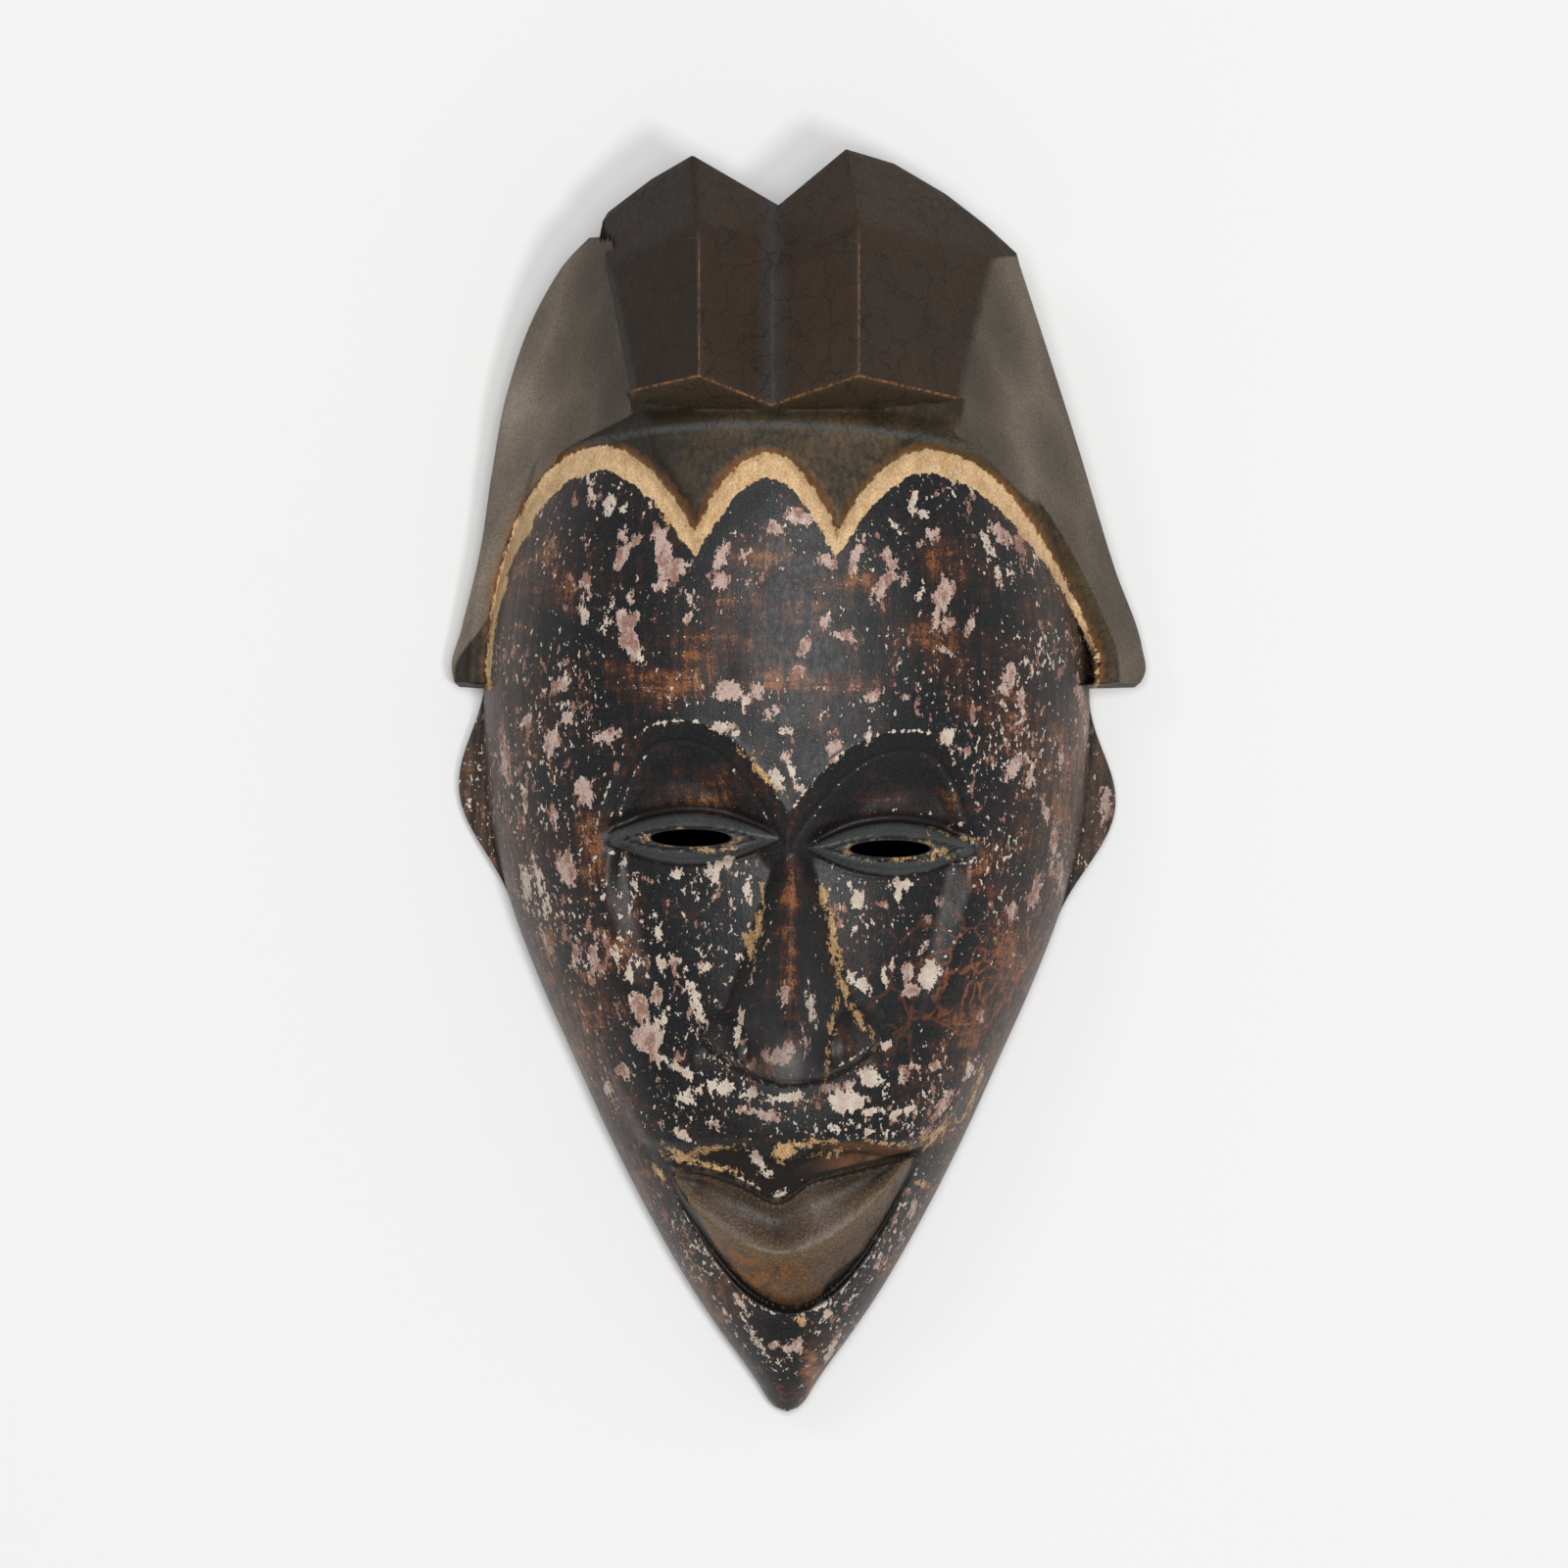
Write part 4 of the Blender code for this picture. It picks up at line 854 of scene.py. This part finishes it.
def blackened_wood(colours):
    """Carved hardwood, blackened and handled to a satin: rubbed brown at high places, flaking to a pale clay ground,
    with a cream hairline. Dark with a broad soft gloss; the flakes are matt."""
    material, node = new_material("blackened_wood")
    place = node("TexCoord", out="Object")
    names = ["past_hairline", "inside_lips", "below_crest", "inside_lids", "pale", "cream", "tan", "rubbed", "flaky",
             "edge", "crease", "hollow", "crown", "wing", "veined", "side", "line_width", "groove", "recess",
             "across", "slit", "ridges", "feet", "valley", "roll", "cuts", "tip"]
    at = {name: node("Attribute", out="Fac", attribute_name=name) for name in names}

    # Noise by the size of its lumps: 0.7 mm grain, 2 mm crumbs, 5 mm flakes, 20 mm clouds, and brush streaks.
    grain = node("TexNoise", {"Vector": place, "Scale": 1400, "Detail": 2, "Roughness": 0.6})
    tall = node("Mapping", {"Vector": place, "Scale": (1.25, 0.75, 1)})
    crumbs = node("TexNoise", {"Vector": tall, "Scale": 480, "Detail": 3, "Roughness": 0.62})
    flakes = node("TexNoise", {"Vector": tall, "Scale": 190, "Detail": 5, "Roughness": 0.68})
    clouds = node("TexNoise", {"Vector": place, "Scale": 50, "Detail": 4, "Roughness": 0.6})
    upright = node("Mapping", {"Vector": place, "Scale": (420, 45, 420)})
    streaks = node("TexNoise", {"Vector": upright, "Scale": 1, "Detail": 4, "Roughness": 0.6})
    level = node("Mapping", {"Vector": place, "Scale": (40, 330, 60)})
    brushed = node("TexNoise", {"Vector": level, "Scale": 1, "Detail": 4, "Roughness": 0.65})

    # How ragged an edge is, in millimetres either way.
    ragged = 0
    for noise, reach in ((crumbs, 6.0), (flakes, 6.0), (grain, 2.4)):
        ragged = node("Math:MULTIPLY_ADD", [noise, reach, node("Math:SUBTRACT", [ragged, reach / 2])])

    # Black coat, cloudy, with wood rubbed through in streaks.
    black = node("Mix:RGBA", [clouds, "#0b0b0c", rgba([c * 1.3 for c in colours.black])])
    black = node("Mix:RGBA", [node("MapRange", [grain, 0.45, 0.75, 0, 0.5]), black, "#2b2e30"])
    rub = 0
    for noise, amount, middle in ((streaks, 1.5, 1.05), (brushed, 1.3, 0.5), (clouds, 1.6, 0.7), (flakes, 1.0, 0.45)):
        rub = node("Math:MULTIPLY_ADD", [noise, amount, node("Math:SUBTRACT", [rub, middle])])
    rub = node("Math:MULTIPLY_ADD", [at["rubbed"], 0.75, rub])
    rub = node("Math:ADD", [rub, node("MapRange", [at["side"], 0.62, 0.95, 0, 0.4])])
    brown_share = node("MapRange", [rub, 0.0, 0.5, 0, 0.9], interpolation_type="SMOOTHSTEP")
    coat = node("Mix:RGBA", [brown_share, black, rgba(colours.brown)])
    fine_rub = node("Math:MULTIPLY_ADD", [grain, 0.9, node("Math:SUBTRACT", [rub, 0.45])])
    orange_share = node("MapRange", [fine_rub, 0.45, 1.0, 0, 0.75], interpolation_type="SMOOTHSTEP")
    coat = node("Mix:RGBA", [orange_share, coat, "#8a5833"])
    # Greyer towards the face's sides, in streaks: dust, and a painted sheen where the sides turn away.
    dust_and_sheen = node("MapRange", [at["side"], 0.8, 1.0, 0, 0.5])
    dust_and_sheen = node("Math:MULTIPLY", [dust_and_sheen, node("MapRange", [streaks, 0.35, 0.6, 0.2, 1])])
    coat = node("Mix:RGBA", [dust_and_sheen, coat, "#66564b"])

    # A wandering network of lines 12 mm apart: orange veins on the right cheek, hair cracks on the coiffure.
    wobble = node("TexNoise", {"Vector": place, "Scale": 110, "Detail": 2}, out="Color")
    bent = node("VectorMath:MULTIPLY_ADD", [wobble, (0.014, 0.014, 0.014), place])
    network = node("TexVoronoi", {"Vector": bent, "Scale": 78}, out="Distance", feature="DISTANCE_TO_EDGE")
    vein = node("MapRange", [network, 0.07, 0.02, 0, 0.8])
    vein = node("Math:MULTIPLY", [vein, node("MapRange", [flakes, 0.35, 0.55, 0.1, 1])])
    vein = node("Math:MULTIPLY", [vein, at["veined"]])
    coat = node("Mix:RGBA", [vein, coat, "#8a5030"])

    # Lids: a smooth, even dark grey.
    on_lid = node("MapRange", [at["inside_lids"], -0.3, 0.4, 0, 1])
    coat = node("Mix:RGBA", [node("Math:MULTIPLY", [on_lid, 0.85]), coat, "#404242"])

    # Flakes: the placed ones with ragged edges, then flecks and specks strewn as thickly as the map says.
    bare = node("Math:SUBTRACT", [1, on_lid])
    pale, cream, scrape = (
        node("MapRange", [node("Math:ADD", [at[name], ragged]), low, high, 0, 1])
        for name, low, high in (("pale", 0, 0.2), ("cream", 0, 0.2), ("tan", -0.1, 0.5))
    )
    thick = node("Math:MULTIPLY_ADD", [at["flaky"], 0.11, flakes])
    fleck = node("MapRange", [thick, 0.69, 0.698, 0, 1])
    many = node("Math:MULTIPLY_ADD", [clouds, 0.12, node("Math:MULTIPLY_ADD", [at["flaky"], 0.13, crumbs])])
    speck = node("MapRange", [many, 0.785, 0.795, 0, 1])
    strewn = node("Math:MULTIPLY", [node("Math:GREATER_THAN", [at["flaky"], 0.05]), bare])
    fleck = node("Math:MULTIPLY", [fleck, strewn])
    speck = node("Math:MULTIPLY", [speck, strewn])
    rubs = node("Math:MULTIPLY_ADD", [at["edge"], 0.3, crumbs])
    rubs = node("MapRange", [rubs, 0.8, 0.82, 0, 1])
    cream = node("Math:MAXIMUM", [cream, node("Math:MULTIPLY", [rubs, bare])])
    pale = node("Math:MAXIMUM", [pale, fleck])
    cream = node("Math:MAXIMUM", [cream, speck])
    deep = node("MapRange", [flakes, 0.48, 0.62, 0, 0.85], interpolation_type="SMOOTHSTEP")
    clay = node("Mix:RGBA", [deep, rgba(colours.pale), "#84594b"])
    clay = node("Mix:RGBA", [node("MapRange", [grain, 0.5, 0.7, 0, 0.5]), clay, "#8d7f78"])
    coat = node("Mix:RGBA", [pale, coat, clay])
    chalk = node("Mix:RGBA", [node("MapRange", [flakes, 0.44, 0.64, 0, 0.7]), rgba(colours.cream), "#b39688"])
    chalk = node("Mix:RGBA", [node("MapRange", [grain, 0.45, 0.7, 0, 0.6]), chalk, "#a0907f"])
    coat = node("Mix:RGBA", [cream, coat, chalk])
    wood = node("Mix:RGBA", [node("MapRange", [crumbs, 0.45, 0.65, 0, 0.8]), rgba(colours.tan), "#8a6238"])
    coat = node("Mix:RGBA", [scrape, coat, wood])

    # Painted highlight: a grey sheen on the nose's tip. Painted shade: near black on the nostrils beside it.
    coat = node("Mix:RGBA", [node("MapRange", [at["tip"], 0, 1, 0, 0.55]), coat, "#7d7673"])
    coat = node("Mix:RGBA", [node("MapRange", [at["tip"], 0, -0.8, 0, 0.7]), coat, "#0e0d0c"])

    # The recess over the lips is smooth: black in the middle, brown wood to the right.
    in_recess = node("MapRange", [at["recess"], 0.2, 1.2, 0, 1])
    right_of = node("MapRange", [at["across"], 5, 22, 0, 1], interpolation_type="SMOOTHSTEP")
    right_of = node("Math:MULTIPLY", [right_of, node("MapRange", [flakes, 0.35, 0.6, 0.4, 1])])
    shade = node("Mix:RGBA", [right_of, "#1a1411", "#6b4730"])
    placed = node("Math:MAXIMUM", [cream, scrape])
    open_recess = node("Math:MULTIPLY", [in_recess, node("Math:SUBTRACT", [1, placed])])
    coat = node("Mix:RGBA", [open_recess, coat, shade])

    # Painted shade: the groove round the lower lip is black. The lips are olive brown, rubbed orange at the lower left,
    # with a painted sheen along the crest and painted glints.
    in_groove = node("MapRange", [at["groove"], -0.6, 0.3, 0, 0.9])
    coat = node("Mix:RGBA", [in_groove, coat, "#121110"])
    on_lips = node("MapRange", [node("Math:MULTIPLY_ADD", [ragged, 0.3, at["inside_lips"]]), -0.3, 0.4, 0, 1])
    lips = node("Mix:RGBA", [node("MapRange", [clouds, 0.4, 0.65, 0, 0.8]), rgba(colours.lips), "#2c2219"])
    lower = node("MapRange", [at["below_crest"], -1, 3, 0, 1])
    left_of = node("MapRange", [at["across"], 12, -14, 0.15, 1])
    rosy = node("MapRange", [flakes, 0.38, 0.62, 0, 1])
    rosy = node("Math:MULTIPLY", [rosy, node("Math:MULTIPLY", [lower, left_of])])
    lips = node("Mix:RGBA", [rosy, lips, "#80501f"])
    sheen = node("MapRange", [node("Math:ABSOLUTE", [at["below_crest"]]), 4.5, 0, 0, 0.5])
    lips = node("Mix:RGBA", [sheen, lips, "#74644f"])
    glint = node("MapRange", [grain, 0.5, 0.75, 0, 0.4])
    lips = node("Mix:RGBA", [glint, lips, "#8a6a44"])
    coat = node("Mix:RGBA", [on_lips, coat, lips])

    # Hair: an olive cap, with painted shade to the left and a painted highlight along its rolled edge; dark brown
    # lobes, greyer in the valley, with painted shade past the left lobe's ridge; wings of a dust-grey brown, with
    # painted shade beside the left lobe and painted light and shade on the adze marks; hair cracks, and edges worn to
    # orange wood.
    crack = node("MapRange", [network, 0.035, 0.005, 0, 0.6])
    patchy = node("Math:MULTIPLY_ADD", [crumbs, 0.35, node("Math:MULTIPLY", [clouds, 0.65])])
    cap = node("Mix:RGBA", [node("MapRange", [patchy, 0.42, 0.6, 0, 0.9]), rgba(colours.cap), "#241c11"])
    # Painted shade: the cap darker to the left.
    cap = node("Mix:RGBA", [node("MapRange", [at["across"], -12, -40, 0, 0.8]), cap, "#1c150c"])
    # Painted highlight: a blue-grey band along the cap's rolled edge.
    roll_highlight = node("MapRange", [node("Math:ABSOLUTE", [node("Math:ADD", [at["roll"], 2.2])]), 1.8, 0.4, 0, 0.4])
    cap = node("Mix:RGBA", [roll_highlight, cap, "#54585a"])
    block_wood = node("Mix:RGBA", [node("MapRange", [clouds, 0.4, 0.62, 0, 0.7]), rgba(colours.coiffure),
                                   "#2a2119"])
    cool = node("MapRange", [node("Math:ABSOLUTE", [at["valley"]]), 5.5, 0.5, 0, 0.35])
    block_wood = node("Mix:RGBA", [cool, block_wood, "#41464a"])
    # Painted shade: the left lobe darker past its ridge.
    shaded = node("MapRange", [at["across"], -27.5, -30.5, 0, 0.65])
    block_wood = node("Mix:RGBA", [shaded, block_wood, "#1d150e"])
    under_foot = node("MapRange", [at["feet"], -0.4, 0.4, 1, 0])
    block_wood = node("Mix:RGBA", [under_foot, block_wood, "#3a2c1a"])
    hair = node("Mix:RGBA", [node("MapRange", [at["crown"], -0.8, 0.4, 0, 1]), cap, block_wood])
    on_wing = node("MapRange", [at["wing"], -0.6, 0.3, 0, 1])
    # Painted shade: the left wing darker beside the left lobe.
    lobe_shade_on_wing = node("MapRange", [at["across"], -60, -92, 0.75, 0])
    wing = node("Mix:RGBA", [lobe_shade_on_wing, rgba(colours.wing), "#1f1813"])
    wing = node("Mix:RGBA", [node("MapRange", [clouds, 0.4, 0.65, 0, 0.3]), wing, "#564a3e"])
    # The right wing lighter outwards: dust, and painted light where it faces the side.
    dust_and_sheen = node("MapRange", [at["across"], 55, 80, 0, 0.3])
    wing = node("Mix:RGBA", [dust_and_sheen, wing, "#867a6a"])
    # Painted light and shade on the adze marks: lighter on their ridges, darker in their scoops.
    adze_light_and_shade = node("MapRange", [at["cuts"], 0.0, 0.55, 0.75, 1.25])
    wing = node("VectorMath:SCALE", {"Vector": wing, "Scale": adze_light_and_shade})
    hair = node("Mix:RGBA", [on_wing, hair, wing])
    crack = node("Math:MULTIPLY", [crack, node("MapRange", [on_wing, 0, 1, 1, 0.15])])
    hair = node("Mix:RGBA", [crack, hair, "#16110e"])
    near_ridge = node("MapRange", [node("Math:ABSOLUTE", [at["ridges"]]), 0.4, 0.1, 0, 0.7])
    near_foot = node("MapRange", [node("Math:ABSOLUTE", [at["feet"]]), 0.6, 0.2, 0, 1])
    worn = node("Math:MAXIMUM", [near_ridge, near_foot])
    worn = node("Math:MULTIPLY", [worn, node("MapRange", [crumbs, 0.42, 0.6, 0.05, 1])])
    worn = node("Math:MULTIPLY", [worn, node("MapRange", [at["crown"], -1.0, 0.2, 0, 0.85])])
    hair = node("Mix:RGBA", [worn, hair, rgba(colours.orange)])
    on_hair = node("MapRange", [at["past_hairline"], 0.6, 1.2, 0, 1])
    coat = node("Mix:RGBA", [on_hair, coat, hair])

    # Hairline: a cream line 5 to 7 mm wide, its edges orange brown.
    wander = node("Math:MULTIPLY_ADD", [ragged, 0.45, at["past_hairline"]])
    stain = node("MapRange", [wander, 5.0, 2.0, 0, 0.85])
    stain = node("Math:MULTIPLY", [stain, node("MapRange", [clouds, 0.4, 0.6, 0.15, 1])])
    stain = node("Math:MULTIPLY", [stain, node("MapRange", [wander, 0.4, 1.2, 0, 1])])
    coat = node("Mix:RGBA", [stain, coat, "#825529"])
    inner = node("Math:ADD", [at["line_width"], wander])
    inner = node("MapRange", [inner, 0.0, 0.4, 0, 1])
    outer = node("MapRange", [wander, 2.2, 1.8, 0, 1])
    line = node("Math:MULTIPLY", [inner, outer])
    chalky = node("Mix:RGBA", [node("MapRange", [flakes, 0.42, 0.68, 0, 0.8]), rgba(colours.band), "#a98456"])
    line = node("Math:MULTIPLY", [line, node("MapRange", [crumbs, 0.66, 0.7, 1, 0.2])])
    coat = node("Mix:RGBA", [line, coat, chalky])

    # Painted shade: darker in the creases and in the broad hollows, less so on the hair and on the placed cream
    # flakes and scrapes, and not on the hairline.
    crease_shade = node("MapRange", [at["crease"], 0.05, 0.7, 0, 0.8])
    shade_weight = node("Math:MULTIPLY", [node("Math:SUBTRACT", [1, line]),
                                   node("MapRange", [on_hair, 0, 1, 1, 0.35])])
    shade_weight = node("Math:MULTIPLY", [shade_weight, node("MapRange", [placed, 0, 1, 1, 0.3])])
    crease_shade = node("Math:MULTIPLY", [crease_shade, shade_weight])
    coat = node("Mix:RGBA", [crease_shade, coat, "#0e0c0b"])
    hollow_shade = node("MapRange", [at["hollow"], 0.1, 0.9, 0, 0.25])
    hollow_shade = node("Math:MULTIPLY", [hollow_shade, shade_weight])
    coat = node("Mix:RGBA", [hollow_shade, coat, "#1a130e"])

    # The slits' rims are worn to bare wood here and there, and their walls are near black: painted shade.
    rim = node("Math:MULTIPLY_ADD", [ragged, 0.25, at["slit"]])
    rim = node("MapRange", [rim, -0.75, -0.45, 0, 1])
    rim = node("Math:MULTIPLY", [rim, node("MapRange", [flakes, 0.53, 0.62, 0, 0.7])])
    coat = node("Mix:RGBA", [rim, coat, "#9a7a50"])
    # Painted shade: the slits' walls near black.
    wall = node("MapRange", [at["slit"], -0.25, -0.1, 0, 1])
    coat = node("Mix:RGBA", [wall, coat, "#060505"])

    # Clay is matt and smooth, the coat is satin, and the coiffure is duller than the face.
    matt = node("Math:MAXIMUM", [node("Math:MAXIMUM", [pale, cream]), line])
    rough = node("MapRange", [crumbs, 0.3, 0.7, 0.4, 0.56])
    rough = node("Mix:FLOAT", [matt, rough, 0.8])
    relief = node("Math:MULTIPLY_ADD", [matt, -0.5, grain])
    relief = node("Math:MULTIPLY_ADD", [streaks, 0.8, relief])
    normal = node("Bump", {"Strength": 0.45, "Distance": 0.00025, "Height": relief})
    mottle = node("MapRange", [grain, 0.35, 0.65, 0.78, 1.25])
    coat = node("VectorMath:SCALE", {"Vector": coat, "Scale": mottle})
    rough = node("Math:ADD", [rough, node("MapRange", [at["past_hairline"], 0, 2, 0, 0.16])])
    shader = node("BsdfPrincipled", {"Base Color": coat, "Roughness": rough, "Normal": normal,
                                     "Specular IOR Level": 0.35, "IOR": 1.48})
    node("OutputMaterial", {"Surface": shader})
    return material


def hollow_wood(colours):
    """The same wood left bare in the hollow and darkened by age: dull brown with gouge streaks, no gloss."""
    material, node = new_material("hollow_wood")
    place = node("TexCoord", out="Object")
    upright = node("Mapping", {"Vector": place, "Scale": (300, 30, 300)})
    grain = node("TexNoise", {"Vector": upright, "Scale": 1, "Detail": 4, "Roughness": 0.6})
    clouds = node("TexNoise", {"Vector": place, "Scale": 40, "Detail": 3})
    wood = node("Mix:RGBA", [node("MapRange", [grain, 0.35, 0.65, 0, 1]), rgba(colours.inside),
                             rgba([c * 0.55 for c in colours.inside])])
    wood = node("Mix:RGBA", [node("MapRange", [clouds, 0.4, 0.65, 0, 0.6]), wood, "#3a291d"])
    normal = node("Bump", {"Strength": 0.4, "Distance": 0.0003, "Height": grain})
    shader = node("BsdfPrincipled", {"Base Color": wood, "Roughness": 0.75, "Normal": normal})
    node("OutputMaterial", {"Surface": shader})
    return material


def studio_floor(colours):
    """White paper sweep: matt."""
    material, node = new_material("studio_floor")
    shader = node("BsdfPrincipled", {"Base Color": rgba(colours.floor), "Roughness": 0.9,
                                     "Specular IOR Level": 0.0})
    node("OutputMaterial", {"Surface": shader})
    return material


def shade_card():
    """Black card that stands in for shade: no shine at all."""
    material, node = new_material("shade_card")
    shader = node("BsdfPrincipled", {"Base Color": "#050505", "Roughness": 1.0, "Specular IOR Level": 0.0})
    node("OutputMaterial", {"Surface": shader})
    return material


def coordinates(mesh):
    """All the mesh's points as one array."""
    points = np.empty(len(mesh.vertices) * 3, np.float32)
    mesh.vertices.foreach_get("co", points)
    return points.reshape(-1, 3).astype(float)


class MASK_OT_carve(bpy.types.Operator):
    """Carve the mask's front, hollow and eye slits, and finish its wood"""

    bl_idname = "face_mask.carve"
    bl_label = "Carve the Mask"

    def execute(self, context):
        sizes, colours = context.scene.mask_carving, context.scene.mask_colours
        finer = 1.0
        columns, rows = int(sizes.columns * finer), int(sizes.rows * finer)
        front = block("front", columns, rows, lambda u, v: spread_front(u, v, sizes), WALL_LEAN, 0)
        hollow = block("hollow", *HOLLOW_GRID, lambda u, v: spread_hollow(u, v, sizes), 0, HOLLOW_FLOOR)
        woods = [blackened_wood(colours), hollow_wood(colours)]
        for obj in (front, hollow):
            for wood in woods:
                obj.data.materials.append(wood)
        front.data.polygons[len(front.data.polygons) - 1].material_index = 1
        hollow.data.polygons.foreach_set("material_index", np.ones(len(hollow.data.polygons), np.int32))
        cutters = [hollow, slit_cutter(0), slit_cutter(1)]
        for cutter in cutters:
            modifier = front.modifiers.new(cutter.name, "BOOLEAN")
            modifier.operation, modifier.solver, modifier.object = "DIFFERENCE", "EXACT", cutter
        context.view_layer.update()
        mesh = bpy.data.meshes.new_from_object(front.evaluated_get(context.evaluated_depsgraph_get()))
        for obj in [front, *cutters]:
            bpy.data.objects.remove(obj, do_unlink=True)
        points = coordinates(mesh)
        for name, values in finish_maps(*points[:, :2].T, sizes).items():
            attribute = mesh.attributes.new(name, "FLOAT", "POINT")
            attribute.data.foreach_set("value", values.astype(np.float32))
        share = (points - points.min(axis=0)) / np.ptp(points, axis=0)
        mesh.vertices.foreach_set("co", (LOW + share * (HIGH - LOW)).astype(np.float32).ravel())
        mesh.shade_smooth()
        mesh.set_sharp_from_angle(angle=np.radians(SHARP_ANGLE))
        mesh.update()
        mask = add_object("mask_carving", mesh)
        if len(mesh.polygons) < columns * rows:
            raise RuntimeError("the hollow or the slits cut away the front")
        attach(mask, "root")
        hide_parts("carved_mask")
        return {"FINISHED"}


class MASK_OT_set_stage(bpy.types.Operator):
    """Lay a white floor, hang the lights and place the camera straight above the mask"""

    bl_idname = "face_mask.set_stage"
    bl_label = "Set the Stage"

    def execute(self, context):
        scene, stage = context.scene, context.scene.mask_stage
        # The card is painted shade: a black sheet under the eye slits.
        for name, sheet, material in (("floor", FLOOR, studio_floor(stage)), ("card", SHADE_CARD, shade_card())):
            (left, front), (right, back), height = sheet
            mesh = bpy.data.meshes.new(name)
            mesh.from_pydata([(left, front, height), (right, front, height), (right, back, height),
                              (left, back, height)], [], [(0, 1, 2, 3)])
            mesh.materials.append(material)
            add_object(name, mesh)
        world = bpy.data.worlds.new("daylight")
        world.use_nodes = True
        # The walls are lit, the right one more, and the ceiling is dim.
        sky = world.node_tree
        toward = add_node(sky, "TexCoord", out="Generated")
        up, right = (add_node(sky, "SeparateXYZ", [toward], out=axis) for axis in "ZX")
        light = add_node(sky, "MapRange", [up, 0.0, 0.9, stage.daylight * 1.9, stage.daylight * 0.45])
        light = add_node(sky, "Math:MULTIPLY", [light, add_node(sky, "MapRange", [right, -1, 1, 0.75, 1.25])])
        sky.links.new(light, sky.nodes["Background"].inputs["Strength"])
        sky.nodes["Background"].inputs["Color"].default_value = (1, 1, 1, 1)
        scene.world = world
        for name, place, size, share in LAMPS:
            lamp = add_object(name, bpy.data.lights.new(name, "AREA"))
            lamp.data.energy, lamp.data.size = stage.key * share, size
            lamp.location = place
            lamp.rotation_euler = (-Vector(place)).to_track_quat("-Z", "Y").to_euler()
        camera = add_object("camera", bpy.data.cameras.new("camera"))
        camera.location = (*CAMERA_PLACE, stage.camera_height)
        camera.data.sensor_fit = "HORIZONTAL"
        camera.data.angle = 2 * np.arctan(stage.view_width / 2 / (stage.camera_height - FOCUS_HEIGHT))
        scene.camera = camera
        scene.view_settings.view_transform = "Standard"
        return {"FINISHED"}


class MASK_PT_panel(bpy.types.Panel):
    """Buttons and settings for the mask"""

    bl_label = "Carved Mask"
    bl_idname = "MASK_PT_panel"
    bl_space_type = "VIEW_3D"
    bl_region_type = "UI"
    bl_category = "Mask"

    def draw(self, context):
        buttons = {"mask_carving": MASK_OT_carve, "mask_stage": MASK_OT_set_stage}
        for group in GROUPS:
            if group in buttons:
                self.layout.operator(buttons[group].bl_idname)
            for name in getattr(context.scene, group).bl_rna.properties.keys():
                if name not in ("rna_type", "name"):
                    self.layout.prop(getattr(context.scene, group), name)


GROUPS = {"mask_carving": MaskCarving, "mask_colours": MaskColours, "mask_stage": MaskStage}
CLASSES = [*GROUPS.values(), MASK_OT_carve, MASK_OT_set_stage, MASK_PT_panel]


def register():
    """Adds the classes, and their settings to the scene."""
    for cls in CLASSES:
        bpy.utils.register_class(cls)
    for name, group in GROUPS.items():
        setattr(bpy.types.Scene, name, bpy.props.PointerProperty(type=group))


def unregister():
    """Takes the settings and the classes away again."""
    for name in GROUPS:
        delattr(bpy.types.Scene, name)
    for cls in reversed(CLASSES):
        bpy.utils.unregister_class(cls)


def main():
    """Builds the mask and its stage."""
    register()
    bpy.ops.face_mask.carve()
    bpy.ops.face_mask.set_stage()


if __name__ == "__main__":
    main()
